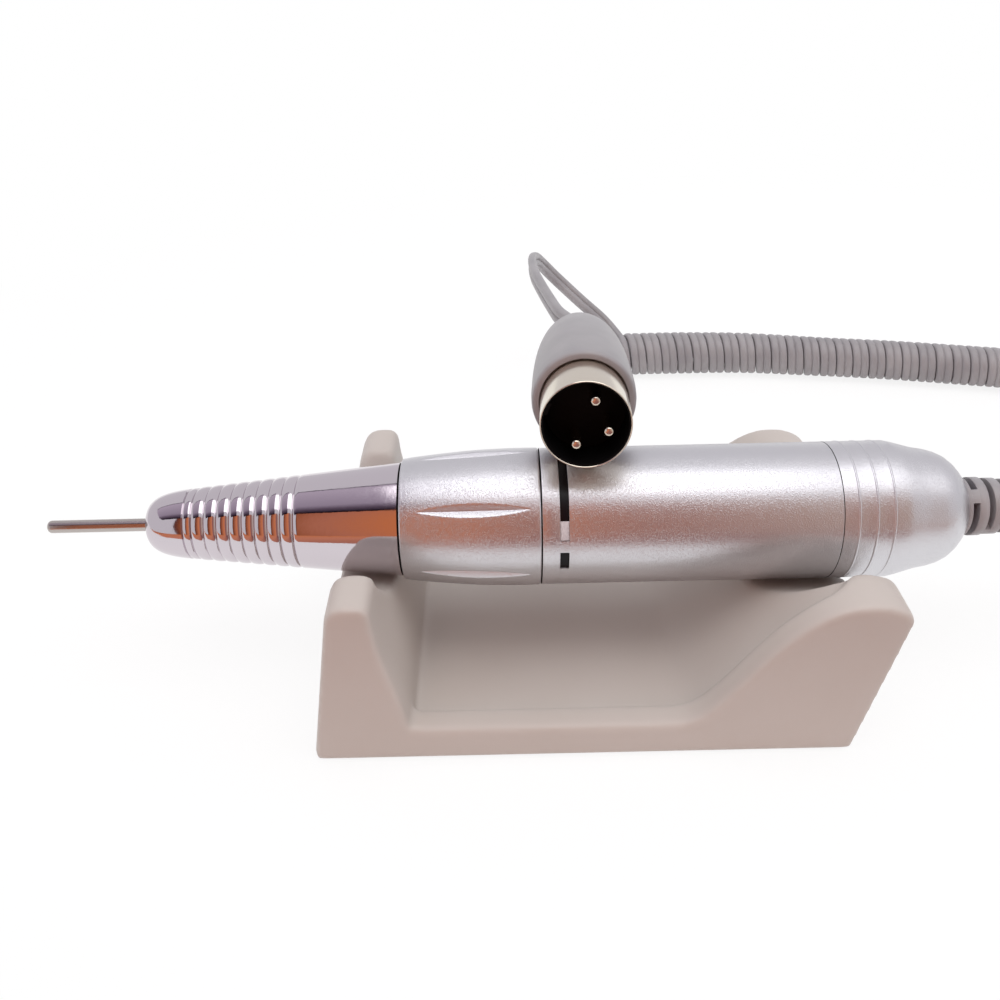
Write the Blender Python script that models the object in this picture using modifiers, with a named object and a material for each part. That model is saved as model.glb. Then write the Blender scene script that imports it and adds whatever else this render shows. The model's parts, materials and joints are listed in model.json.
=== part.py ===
"""Electric nail drill: a twist-lock handpiece lying in its cradle, with its curly twin lead and round plug.

Metres, +Z up. The handpiece lies along X with its nose towards -X, and the table is at Z = 0.
The origin is the middle of the cradle and handpiece, without the cord and plug, on the table.
Stations run along the handpiece's axis, from the tip of its nose towards its cord.
"""

import math

import bmesh
import bpy
import numpy as np
from mathutils import Matrix, Vector

# Driving dimensions of the whole object.
AXIS_HEIGHT = 0.03125
CLEARANCE = 0.0003
OVERRUN = 0.004
SHELL_SEGMENTS = 32
PLUG_SEGMENTS = 24
INNER_SEGMENTS = 16
FINE_SEGMENTS = 12
FULL_TURN = 2 * math.pi
RIGHT_ANGLE = math.pi / 2

# Nose cone: an ogive tip, a straight cone behind it and a row of round beads to hold it by.
NOSE_LENGTH = 0.0471
NOSE_MOUTH_RADIUS = 0.0016
NOSE_ROUND_LENGTH = 0.0079
NOSE_SHOULDER_SHARE = 0.511
NOSE_END_SHARE = 0.838
NOSE_ROUND_SHARES = ((0.0, 0.36), (0.07, 0.53), (0.2, 0.69), (0.42, 0.85), (0.66, 0.94), (1.0, 1.0))
BEAD_START = 0.0100
BEAD_PITCH = 0.002315
BEAD_COUNT = 8
BEAD_DEPTH = 0.0004
BEAD_RISE = 0.0002
BEAD_CREST_SHARES = (0.28, 0.72)
NOSE_FRONT_BORE_RADIUS = 0.0042
NOSE_FRONT_WALL = 0.0030
NOSE_SLEEVE_SEAT = 0.0160

# Collar that twists to open and close the chuck, with six lens-shaped finger flutes.
COLLAR_LENGTH = 0.0245
COLLAR_SWELL = 0.0001
COLLAR_WALL_SHARE = 0.1285
COLLAR_SHARES = ((0.0, 0.868), (0.03, 0.882), (0.26, 0.938), (0.57, 0.986), (0.93, 1.0), (1.0, 0.982))
FLUTE_COUNT = 6
FLUTE_LENGTH = 0.0198
FLUTE_DEPTH = 0.0008
FLUTE_HALF_ANGLE = math.radians(57)
FLUTE_CENTRE = 0.0129
FLUTE_CUTTER_RIM = 0.0030
FLUTE_FIRST_ANGLE = math.radians(50)

# Front sleeve, black index ring and body tube.
SLEEVE_LENGTH = 0.0028
SLEEVE_FACE_WALL = 0.0012
RING_LENGTH = 0.0012
RING_DEPTH = 0.00055
BODY_RADIUS = 0.01245
BODY_LENGTH = 0.0465
BODY_WALL_SHARE = 0.1044

# Rear cap with three raised rings, tapering to the cord's strain relief.
CAP_LENGTH = 0.0255
CAP_WALL_SHARE = 0.1205
CAP_STRAIGHT_LENGTH = 0.0108
CAP_RING_STATIONS = (0.0027, 0.0058, 0.0088)
CAP_RING_WIDTH = 0.0008
CAP_RING_RISE = 0.00022
CAP_NOSE_SHARES = ((0.0, 1.0), (0.22, 0.94), (0.39, 0.885), (0.56, 0.84), (0.71, 0.775), (0.83, 0.69),
                   (0.93, 0.58), (1.0, 0.50))

# Strain relief: a tapering rubber sleeve with rows of slots, each row turned a quarter from the last.
BOOT_LENGTH = 0.0280
BOOT_START_RADIUS = 0.0055
BOOT_END_RADIUS = 0.0034
BOOT_SLOT_ROWS = 7
BOOT_SLOT_PITCH = 0.0029
BOOT_SLOT_WIDTH = 0.0012
BOOT_SLOT_START = 0.0010
BOOT_SLOT_ANGLE = math.radians(140)
BOOT_SLOT_STEPS = 4
BOOT_SKIN = 0.0009
BOOT_FLANGE_RADIUS = 0.0068
BOOT_FLANGE_LENGTH = 0.0020

# Bit: a plain round mandrel of the standard shank size.
SHANK_RADIUS = 0.001175
BIT_REACH = 0.01815
BIT_DEPTH = 0.0165
BIT_TIP_ROUND = 0.0004

# Spindle, its chuck and its bearings.
SPINDLE_RADIUS = 0.0030
SPINDLE_END = 0.0600
COLLET_RADIUS = 0.0020
COLLET_BODY_END = 0.0205
COLLET_SLIT = 0.0004
COLLET_SLIT_END = 0.0120
DRAWBAR_RADIUS = 0.0015
DRAWBAR_END = 0.0560
CHUCK_TRAVEL = 0.0008
RELEASE_TRAVEL = 0.0015
CROSS_PIN_STATION = 0.0500
CROSS_PIN_RADIUS = 0.0006
CROSS_PIN_SHARE = 0.3695
SPINDLE_FLANGE_START = 0.0372
SPINDLE_FLANGE_LENGTH = 0.0012
SPINDLE_FLANGE_RADIUS = 0.0045
SPRING_WIRE_RADIUS = 0.00035
SPRING_CURLS = 5
SPRING_POINTS_PER_CURL = 8
BEARING_LENGTH = 0.0030
FRONT_BEARING_START = 0.0062
REAR_BEARING_START = 0.0553

# Inner sleeve that carries the spindle, the collar and the release parts.
INNER_SLEEVE_START = 0.0314
INNER_SLEEVE_SHARE = 0.594
INNER_SLEEVE_WALL_SHARE = 0.0964
RELEASE_SLOT_LENGTH = 0.0058
CAM_RING_LENGTH = 0.0050
CAM_NOTCH_DEPTH = 0.0016
CAM_NOTCH_WIDTH = 0.0030
RELEASE_RING_LENGTH = 0.0045
RELEASE_PIN_RADIUS = 0.0008
PUSH_RING_LENGTH = 0.0034
PUSH_RING_GAP = 0.0005

# Motor inside the body tube.
MOTOR_CASE_LENGTH = 0.0420
MOTOR_CASE_WALL_SHARE = 0.0723
END_BELL_LENGTH = 0.0030
END_BELL_LIP = 0.0012
MOTOR_BEARING_RADIUS = 0.0042
MOTOR_BEARING_LENGTH = 0.0025
ROTOR_SHAFT_SHARE = 0.1205
MAGNET_SHARE = 0.18
MAGNET_LENGTH = 0.0240
MAGNET_ANGLE = math.radians(130)
CORE_LENGTH = 0.0180
CORE_AIR_GAP = 0.0005
CORE_SLOTS = 5
CORE_SLOT_WIDTH_SHARE = 0.27
CORE_SLOT_DEPTH_SHARE = 0.35
WINDING_LENGTH = 0.0032
WINDING_INSET = 0.0008
COMMUTATOR_SHARE = 0.241
COMMUTATOR_LENGTH = 0.0056
BRUSH_WIDTH = 0.0020
BRUSH_HEIGHT = 0.0026
BRUSH_LENGTH_SHARE = 0.43
BRUSH_HOLDER_WALL = 0.0005
BRUSH_SPRING_CURLS = 3
BRUSH_SPRING_WIRE = 0.00022
DOG_SHARE = 0.2731
DOG_HUB_LENGTH = 0.0030
DOG_BLADE_LENGTH = 0.0030
DOG_WEB = 0.0010
BLADE_SHARE = 0.92
DOG_BLADE_WIDTH = 0.0016
FORK_SHARE = 0.3855
FORK_SLOT_DEPTH = 0.0030
FORK_HUB_WALL = 0.0012

# Cord clamp inside the rear cap.
CLAMP_LENGTH = 0.0040
CLAMP_WALL = 0.0022
CLAMP_START = 0.0070

# Cradle: an S-shaped side outline, a trough between its walls and a round saddle across each end.
CRADLE_SETBACK = 0.0312
CRADLE_LENGTH = 0.0945
CRADLE_WIDTH = 0.0587
POST_HEIGHT = 0.0342
POST_FOOT_TO_TOP = 0.0054
POST_TOP_LENGTH = 0.0074
POST_CORNER = 0.0024
FLANK_FOOT = 0.0171
RIM_HEIGHT = 0.0070
RAMP_START = 0.0639
HUMP_STATION = 0.0923
HUMP_HEIGHT = 0.0323
HUMP_END = 0.0996
HUMP_END_HEIGHT = 0.0290
RAMP_HANDLE_SHARES = (0.27, 0.50)
HUMP_HANDLE_SHARES = (0.55, 0.42)
RAMP_STEPS = 10
HUMP_STEPS = 5
CRADLE_EDGE_ROUND = 0.0012
SIDE_WALL = 0.0057
TROUGH_FLOOR = 0.0035
TROUGH_LIP = 0.0022
TROUGH_CORNER = 0.0080
TROUGH_CORNER_STEPS = 4
SADDLE_RADIUS = 0.0210
SADDLE_SEGMENTS = 48
POCKET_WALL = 0.0026
POCKET_RIB = 0.0022
POCKET_CEILING_SHARE = 0.86

# Twin lead and its curls.
LEAD_WIDTH = 0.0041
LEAD_THICKNESS = 0.0022
LEAD_GROOVE = 0.0004
LEAD_TUBE_RADIUS = 0.00165
COIL_RADIUS = 0.0058
CURL_PITCH = 0.00458
CURL_POINTS = 8
CURL_EASE = 0.0075
CURL_START_ANGLE = math.radians(75)
COIL_STEP = 0.00025

# Plug: nickel shell, black insulator, three pins and a grey overmould.
PLUG_SHELL_RADIUS = 0.0076
PLUG_SHELL_WALL = 0.0005
PLUG_SHELL_REACH = 0.0109
PLUG_SHELL_INSERT = 0.0080
PLUG_CAVITY_DEPTH = 0.0075
PLUG_INSULATOR_LENGTH = 0.0060
PLUG_KEY_WIDTH = 0.0024
PLUG_KEY_DEPTH = 0.0010
PLUG_KEY_LENGTH = 0.0060
PLUG_PIN_RADIUS = 0.00084
PLUG_PIN_CIRCLE = 0.0041
PLUG_PIN_SETBACK = 0.0007
PLUG_PIN_TAIL = 0.0030
PLUG_MIDDLE_PIN_ANGLE = math.radians(-21.3)
PLUG_BODY_RADIUS = 0.0092
PLUG_BODY_LENGTH = 0.0432
PLUG_BODY_SHARES = ((0.0, 0.955), (0.03, 0.99), (0.1, 1.0), (0.3, 0.987), (0.5, 0.94), (0.68, 0.841),
                    (0.8, 0.719), (0.88, 0.591), (0.94, 0.47), (1.0, 0.36))
PLUG_STEP_RADIUS = 0.0084
PLUG_STEP_DEPTH = 0.0008
PLUG_TILT = math.radians(7.5)
PLUG_YAW = math.radians(3.3)
PLUG_OVERHANG = 0.0081
PLUG_STATION = 0.0792

# Radii that follow the body's, so that the whole handpiece keeps its form.
NOSE_SHOULDER_RADIUS = NOSE_SHOULDER_SHARE * BODY_RADIUS
NOSE_END_RADIUS = NOSE_END_SHARE * BODY_RADIUS
COLLAR_RADIUS = BODY_RADIUS + COLLAR_SWELL
COLLAR_WALL = COLLAR_WALL_SHARE * BODY_RADIUS
INNER_SLEEVE_RADIUS = INNER_SLEEVE_SHARE * BODY_RADIUS
INNER_SLEEVE_WALL = INNER_SLEEVE_WALL_SHARE * BODY_RADIUS
BODY_WALL = BODY_WALL_SHARE * BODY_RADIUS
CAP_WALL = CAP_WALL_SHARE * BODY_RADIUS
MOTOR_CASE_WALL = MOTOR_CASE_WALL_SHARE * BODY_RADIUS
CROSS_PIN_REACH = CROSS_PIN_SHARE * BODY_RADIUS
FORK_RADIUS = FORK_SHARE * BODY_RADIUS
DOG_RADIUS = DOG_SHARE * BODY_RADIUS
COMMUTATOR_RADIUS = COMMUTATOR_SHARE * BODY_RADIUS
ROTOR_SHAFT_RADIUS = ROTOR_SHAFT_SHARE * BODY_RADIUS

# Stations worked out from the lengths above, along the handpiece from the tip of its nose.
COLLAR_START = NOSE_LENGTH + CLEARANCE
SLEEVE_START = COLLAR_START + COLLAR_LENGTH + CLEARANCE
RING_START = SLEEVE_START + SLEEVE_LENGTH + CLEARANCE
BODY_START = RING_START + RING_LENGTH + CLEARANCE
CAP_START = BODY_START + BODY_LENGTH + CLEARANCE
CAP_END = CAP_START + CAP_LENGTH
BOOT_END = CAP_END + BOOT_LENGTH
NOSE_X = -(BIT_REACH + BOOT_END) / 2 + BIT_REACH
SPINDLE_START = NOSE_FRONT_WALL + CLEARANCE
COLLET_MOUTH = SPINDLE_START + CHUCK_TRAVEL
PUSH_RING_START = CROSS_PIN_STATION + CROSS_PIN_RADIUS + RELEASE_TRAVEL - CHUCK_TRAVEL + CLEARANCE
RELEASE_PIN_STATION = PUSH_RING_START + PUSH_RING_LENGTH / 2
CAM_RING_START = RELEASE_PIN_STATION + RELEASE_RING_LENGTH / 2 + CLEARANCE

# Cord routes, chosen by hand: X and Y from the origin, and the height of the cord's middle.
COIL_ROUTE = (
    (0.0220, 0.1224), (0.0400, 0.1226), (0.0600, 0.1222), (0.0820, 0.1188), (0.1025, 0.1153),
    (0.1224, 0.1110), (0.1400, 0.1070), (0.1600, 0.1022), (0.1800, 0.0960), (0.1965, 0.0850),
    (0.2075, 0.0690), (0.2115, 0.0510), (0.2070, 0.0325), (0.1940, 0.0180), (0.1700, 0.0085),
)
PLUG_LEAD_ROUTE = (
    (0.0023, 0.0495, 0.0469), (0.0009, 0.0535, 0.0466), (-0.0006, 0.0584, 0.0462), (-0.0020, 0.0682, 0.0454),
    (-0.0033, 0.0795, 0.0443), (-0.0044, 0.0918, 0.0430), (-0.0046, 0.1040, 0.0412), (-0.0040, 0.1140, 0.0392),
    (-0.0028, 0.1222, 0.0366), (-0.0006, 0.1274, 0.0330), (0.0024, 0.1292, 0.0293), (0.0060, 0.1290, 0.0258),
    (0.0099, 0.1282, 0.0222), (0.0141, 0.1275, 0.0181), (0.0178, 0.1270, 0.0146), (0.0206, 0.1265, 0.0112),
)
HANDPIECE_LEAD_ROUTE = (
    (0.1590, 0.0068, 0.0104), (0.1500, 0.0060, 0.0106), (0.1420, 0.0050, 0.0122), (0.1340, 0.0036, 0.0160),
    (0.1260, 0.0020, 0.0215), (0.1180, 0.0009, 0.0265), (0.1100, 0.0002, 0.0300),
)


def clear_scene():
    """Start from an empty scene."""
    for item in list(bpy.data.objects):
        bpy.data.objects.remove(item, do_unlink=True)


def new_collection(name):
    """A collection of this name, linked to the scene."""
    collection = bpy.data.collections.new(name)
    bpy.context.scene.collection.children.link(collection)
    return collection


def principled(name, colour, roughness, metallic=0.0):
    """One Principled BSDF material."""
    material = bpy.data.materials.new(name)
    material.use_nodes = True
    shader = material.node_tree.nodes["Principled BSDF"]
    shader.inputs["Base Color"].default_value = (*colour, 1.0)
    shader.inputs["Roughness"].default_value = roughness
    shader.inputs["Metallic"].default_value = metallic
    material.diffuse_color = (*colour, 1.0)
    return material


clear_scene()
PARTS = new_collection("electric_nail_drill")
CUTTERS = new_collection("cutters")
CHROME = principled("chromed_brass", (0.80, 0.80, 0.82), 0.08, 1.0)
SATIN = principled("satin_silver", (0.70, 0.70, 0.72), 0.38, 1.0)
STEEL = principled("bright_steel", (0.62, 0.62, 0.64), 0.22, 1.0)
DARK_STEEL = principled("motor_steel", (0.30, 0.30, 0.31), 0.40, 1.0)
BRASS = principled("brass", (0.72, 0.55, 0.27), 0.30, 1.0)
COPPER = principled("copper_wire", (0.70, 0.36, 0.20), 0.35, 1.0)
FERRITE = principled("ferrite", (0.05, 0.05, 0.055), 0.60)
CARBON = principled("carbon", (0.03, 0.03, 0.03), 0.70)
NICKEL = principled("nickel_plate", (0.72, 0.69, 0.63), 0.18, 1.0)
BLACK_PLASTIC = principled("black_insulator", (0.02, 0.02, 0.02), 0.45)
CRADLE_PLASTIC = principled("cradle_plastic", (0.47, 0.41, 0.36), 0.55)
CORD_GREY = principled("grey_cord_plastic", (0.42, 0.40, 0.41), 0.50)


def add(name, mesh, material, parent=None, collection=None):
    """A new object round this mesh, in its parent's own frame."""
    item = bpy.data.objects.new(name, mesh)
    (collection or PARTS).objects.link(item)
    if material:
        mesh.materials.append(material)
    if parent:
        item.parent = parent
    return item


def empty(name, location, rotation=(0.0, 0.0, 0.0), parent=None):
    """An empty that carries one moving body."""
    item = bpy.data.objects.new(name, None)
    item.empty_display_size = OVERRUN
    item.location = location
    item.rotation_euler = rotation
    item.parent = parent
    PARTS.objects.link(item)
    return item


def as_cutter(item):
    """Keep a helper out of the render and in the cutters' collection."""
    item.hide_render = True
    item.display_type = "WIRE"
    for collection in list(item.users_collection):
        collection.objects.unlink(item)
    CUTTERS.objects.link(item)
    return item


def combine(target, other, operation="DIFFERENCE"):
    """Cut, join or intersect the target with another mesh object."""
    modifier = target.modifiers.new(operation.lower(), "BOOLEAN")
    modifier.operation = operation
    modifier.object = other
    modifier.solver = "EXACT"
    return target


def turned(name, outer, bore, material, parent, segments=INNER_SEGMENTS):
    """A turned piece about its parent's Z: outer and bore are (station, radius) from low to high."""
    outline = [(radius, 0.0, station) for station, radius in reversed(outer)]
    if bore:
        outline += [(radius, 0.0, station) for station, radius in bore]
        edges = [(i, (i + 1) % len(outline)) for i in range(len(outline))]
    else:
        outline.insert(0, (0.0, 0.0, outer[-1][0]))
        outline.append((0.0, 0.0, outer[0][0]))
        edges = [(i, i + 1) for i in range(len(outline) - 1)]
    mesh = bpy.data.meshes.new(name)
    mesh.from_pydata(outline, edges, [])
    item = add(name, mesh, material, parent)
    screw = item.modifiers.new("turn", "SCREW")
    screw.axis = "Z"
    screw.angle = FULL_TURN
    screw.steps = segments
    screw.render_steps = segments
    screw.use_merge_vertices = True
    screw.merge_threshold = MERGE_DISTANCE
    screw.use_smooth_shade = True
    return item


def tube(name, start, end, outer_radius, inner_radius, material, parent, segments=INNER_SEGMENTS):
    """A plain ring or bush between two stations."""
    outer = [(start, outer_radius), (end, outer_radius)]
    bore = [(start, inner_radius), (end, inner_radius)] if inner_radius else None
    return turned(name, outer, bore, material, parent, segments)


def mesh_of(item):
    """The evaluated object as a plain mesh with its doubles merged."""
    bpy.context.view_layer.update()
    graph = bpy.context.evaluated_depsgraph_get()
    mesh = bpy.data.meshes.new_from_object(item.evaluated_get(graph))
    work = bmesh.new()
    work.from_mesh(mesh)
    bmesh.ops.remove_doubles(work, verts=work.verts, dist=MERGE_DISTANCE)
    bmesh.ops.recalc_face_normals(work, faces=work.faces)
    work.to_mesh(mesh)
    work.free()
    return mesh


def extruded(name, outline, thickness, material, parent=None, turn=None):
    """A flat outline of (x, y) points, thickened evenly both ways along Z, then turned into its place."""
    curve = bpy.data.curves.new(name, "CURVE")
    curve.dimensions = "2D"
    curve.fill_mode = "BOTH"
    curve.extrude = thickness / 2
    spline = curve.splines.new("POLY")
    spline.points.add(len(outline) - 1)
    for point, (x, y) in zip(spline.points, outline):
        point.co = (x, y, 0.0, 1.0)
    spline.use_cyclic_u = True
    guide = add(name + "_outline", curve, None)
    mesh = mesh_of(guide)
    bpy.data.objects.remove(guide, do_unlink=True)
    if turn:
        mesh.transform(turn)
    return add(name, mesh, material, parent)


def box(name, size, centre, material, parent=None):
    """A box of this size about this centre."""
    work = bmesh.new()
    bmesh.ops.create_cube(work, size=1.0, matrix=Matrix.Translation(centre) @ Matrix.Diagonal((*size, 1.0)))
    mesh = bpy.data.meshes.new(name)
    work.to_mesh(mesh)
    work.free()
    return add(name, mesh, material, parent)


def cross_rod(name, radius, reach, centre, material, parent, segments=FINE_SEGMENTS):
    """A round rod along its parent's Y."""
    turn = Matrix.Translation(centre) @ Matrix.Rotation(RIGHT_ANGLE, 4, "X")
    work = bmesh.new()
    bmesh.ops.create_cone(
        work, cap_ends=True, segments=segments, radius1=radius, radius2=radius, depth=2 * reach, matrix=turn
    )
    mesh = bpy.data.meshes.new(name)
    work.to_mesh(mesh)
    work.free()
    return add(name, mesh, material, parent)


def arc_points(radius, start, end, steps, centre=(0.0, 0.0)):
    """Points on a circular arc, both ends included."""
    angles = [start + (end - start) * i / steps for i in range(steps + 1)]
    return [(centre[0] + radius * math.cos(a), centre[1] + radius * math.sin(a)) for a in angles]


def arc_plate(name, inner, outer, middle, angle, start, end, material, parent, steps=6):
    """Part of a ring between two stations, centred on the angle called middle."""
    low, high = middle - angle / 2, middle + angle / 2
    outline = arc_points(outer, low, high, steps) + arc_points(inner, high, low, steps)
    place = Matrix.Translation((0.0, 0.0, (start + end) / 2))
    return extruded(name, outline, end - start, material, parent, place)


def bezier(start, first, second, end, steps):
    """Points on a cubic curve, without its first point."""
    points = []
    for i in range(1, steps + 1):
        t = i / steps
        a, b, c, d = (1 - t) ** 3, 3 * t * (1 - t) ** 2, 3 * t * t * (1 - t), t**3
        points.append(tuple(a * p + b * q + c * r + d * s for p, q, r, s in zip(start, first, second, end)))
    return points


def smooth_line(route, step):
    """A smooth curve through hand-chosen points, sampled evenly."""
    points = [np.array(p, float) for p in route]
    points = [2 * points[0] - points[1]] + points + [2 * points[-1] - points[-2]]
    fine = []
    for p, q, r, s in zip(points, points[1:], points[2:], points[3:]):
        for t in np.linspace(0, 1, SMOOTH_STEPS, endpoint=False):
            fine.append(
                0.5 * (2 * q + (r - p) * t + (2 * p - 5 * q + 4 * r - s) * t**2 + (3 * q - p - 3 * r + s) * t**3)
            )
    fine = np.array(fine + [points[-2]])
    lengths = np.concatenate([[0], np.cumsum(np.linalg.norm(np.diff(fine, axis=0), axis=1))])
    count = max(2, round(lengths[-1] / step))
    places = np.linspace(0, lengths[-1], count + 1)
    return np.stack([np.interp(places, lengths, fine[:, i]) for i in range(fine.shape[1])], axis=1)


MERGE_DISTANCE = 0.00001
SMOOTH_STEPS = 24

ALONG_X = (0.0, RIGHT_ANGLE, 0.0)
NOSE_TIP = (NOSE_X, 0.0, AXIS_HEIGHT)
HANDPIECE = empty("handpiece_axis", NOSE_TIP, ALONG_X)
COLLAR = empty("collar_axis", NOSE_TIP, ALONG_X)
RELEASE = empty("release_axis", NOSE_TIP, ALONG_X)
SPINDLE = empty("spindle_axis", NOSE_TIP, ALONG_X)
CHUCK = empty("chuck_axis", NOSE_TIP, ALONG_X)
BIT = empty("bit_axis", NOSE_TIP, ALONG_X)


def cone_radius(station):
    """Radius of the nose cone's plain surface."""
    share = (station - NOSE_ROUND_LENGTH) / (NOSE_LENGTH - NOSE_ROUND_LENGTH)
    return NOSE_SHOULDER_RADIUS + share * (NOSE_END_RADIUS - NOSE_SHOULDER_RADIUS)


def make_nose_cone():
    """The chromed nose: mouth, ogive tip, beads and cone, bored in two steps for bearings and sleeve."""
    outer = [(s * NOSE_ROUND_LENGTH, r * NOSE_SHOULDER_RADIUS) for s, r in NOSE_ROUND_SHARES]
    for i in range(BEAD_COUNT + 1):
        groove = BEAD_START + i * BEAD_PITCH
        outer.append((groove, cone_radius(groove) - BEAD_DEPTH))
        if i < BEAD_COUNT:
            for share in BEAD_CREST_SHARES:
                crest = groove + share * BEAD_PITCH
                outer.append((crest, cone_radius(crest) + BEAD_RISE))
    after_beads = BEAD_START + (BEAD_COUNT + BEAD_CREST_SHARES[0]) * BEAD_PITCH
    outer.append((after_beads, cone_radius(after_beads)))
    outer.append((NOSE_LENGTH, NOSE_END_RADIUS))
    seat_radius = INNER_SLEEVE_RADIUS + CLEARANCE
    seat_start = INNER_SLEEVE_START - CLEARANCE
    bore = [
        (0.0, NOSE_MOUTH_RADIUS),
        (NOSE_FRONT_WALL, NOSE_MOUTH_RADIUS),
        (NOSE_FRONT_WALL, NOSE_FRONT_BORE_RADIUS),
        (seat_start, NOSE_FRONT_BORE_RADIUS),
        (seat_start, seat_radius),
        (NOSE_LENGTH, seat_radius),
    ]
    turned("nose_cone", outer, bore, CHROME, HANDPIECE, SHELL_SEGMENTS)


def make_collar():
    """The satin collar, its six flutes cut by a wide-edged wheel sunk along each."""
    outer = [(COLLAR_START + s * COLLAR_LENGTH, r * COLLAR_RADIUS) for s, r in COLLAR_SHARES]
    bore_radius = COLLAR_RADIUS * COLLAR_SHARES[0][1] - COLLAR_WALL
    bore = [(COLLAR_START, bore_radius), (COLLAR_START + COLLAR_LENGTH, bore_radius)]
    collar = turned("lock_collar", outer, bore, SATIN, COLLAR, SHELL_SEGMENTS)
    wheel_radius = (FLUTE_LENGTH**2 / 4 + FLUTE_DEPTH**2) / (2 * FLUTE_DEPTH)
    half_width = FLUTE_CUTTER_RIM * math.tan(FLUTE_HALF_ANGLE)
    rim = wheel_radius - FLUTE_CUTTER_RIM
    for i in range(FLUTE_COUNT):
        name = f"flute_cutter_{i + 1}"
        wheel = turned(name, [(-half_width, rim), (0.0, wheel_radius), (half_width, rim)], None, None, None, 96)
        place = Matrix.Rotation(FLUTE_FIRST_ANGLE + i * FULL_TURN / FLUTE_COUNT, 4, "Z")
        reach = COLLAR_RADIUS * COLLAR_SHARES[2][1] - FLUTE_DEPTH + wheel_radius
        lean = math.atan2(COLLAR_RADIUS * (COLLAR_SHARES[3][1] - COLLAR_SHARES[1][1]), COLLAR_LENGTH / 2)
        place @= Matrix.Translation((reach + FLUTE_DEPTH / 2, 0.0, COLLAR_START + FLUTE_CENTRE))
        place @= Matrix.Rotation(lean / 2, 4, "Y") @ Matrix.Rotation(RIGHT_ANGLE, 4, "X")
        wheel.parent = COLLAR
        wheel.matrix_local = place
        combine(collar, as_cutter(wheel))
    return bore_radius


def make_body_shells():
    """Front sleeve, index ring, body tube and rear cap."""
    seat = INNER_SLEEVE_RADIUS + CLEARANCE
    tube("front_sleeve", SLEEVE_START, SLEEVE_START + SLEEVE_LENGTH, BODY_RADIUS, seat, SATIN, HANDPIECE,
         SHELL_SEGMENTS)
    tube("index_ring", RING_START, RING_START + RING_LENGTH, BODY_RADIUS - RING_DEPTH, seat, BLACK_PLASTIC,
         HANDPIECE, SHELL_SEGMENTS)
    tube("body_tube", BODY_START, BODY_START + BODY_LENGTH, BODY_RADIUS, BODY_RADIUS - BODY_WALL, SATIN,
         HANDPIECE, SHELL_SEGMENTS)
    outer = [(CAP_START, BODY_RADIUS)]
    for station in CAP_RING_STATIONS:
        middle = CAP_START + station
        outer += [
            (middle - CAP_RING_WIDTH / 2, BODY_RADIUS),
            (middle, BODY_RADIUS + CAP_RING_RISE),
            (middle + CAP_RING_WIDTH / 2, BODY_RADIUS),
        ]
    taper = CAP_START + CAP_STRAIGHT_LENGTH
    taper_length = CAP_LENGTH - CAP_STRAIGHT_LENGTH
    outer += [(taper + s * taper_length, r * BODY_RADIUS) for s, r in CAP_NOSE_SHARES]
    mouth = BOOT_START_RADIUS + CLEARANCE
    flange_end = CAP_END - CAP_WALL
    bore = [
        (CAP_START, BODY_RADIUS - CAP_WALL),
        (taper, BODY_RADIUS - CAP_WALL),
        (flange_end - BOOT_FLANGE_LENGTH, BOOT_FLANGE_RADIUS + CLEARANCE),
        (flange_end, BOOT_FLANGE_RADIUS + CLEARANCE),
        (flange_end, mouth),
        (CAP_END, mouth),
    ]
    turned("rear_cap", outer, bore, SATIN, HANDPIECE, SHELL_SEGMENTS)


def make_boot():
    """The slotted strain relief, held behind the cap's mouth by its flange."""
    flange_end = CAP_END - CAP_WALL - CLEARANCE
    flange_start = flange_end - BOOT_FLANGE_LENGTH + CLEARANCE
    bore_radius = LEAD_TUBE_RADIUS + CLEARANCE
    outer = [
        (flange_start, BOOT_FLANGE_RADIUS),
        (flange_end, BOOT_FLANGE_RADIUS),
        (flange_end, BOOT_START_RADIUS),
        (CAP_END, BOOT_START_RADIUS),
        (BOOT_END, BOOT_END_RADIUS),
    ]
    bore = [(flange_start, bore_radius), (BOOT_END, bore_radius)]
    boot = turned("cord_boot", outer, bore, CORD_GREY, HANDPIECE)
    for row in range(BOOT_SLOT_ROWS):
        start = CAP_END + BOOT_SLOT_START + row * BOOT_SLOT_PITCH
        for side in range(2):
            middle = side * math.pi + (row % 2) * RIGHT_ANGLE
            slot = arc_plate(f"boot_slot_{row + 1}_{side + 1}", bore_radius + BOOT_SKIN,
                             BOOT_START_RADIUS + OVERRUN, middle, BOOT_SLOT_ANGLE, start,
                             start + BOOT_SLOT_WIDTH, None, HANDPIECE, BOOT_SLOT_STEPS)
            combine(boot, as_cutter(slot))


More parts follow.
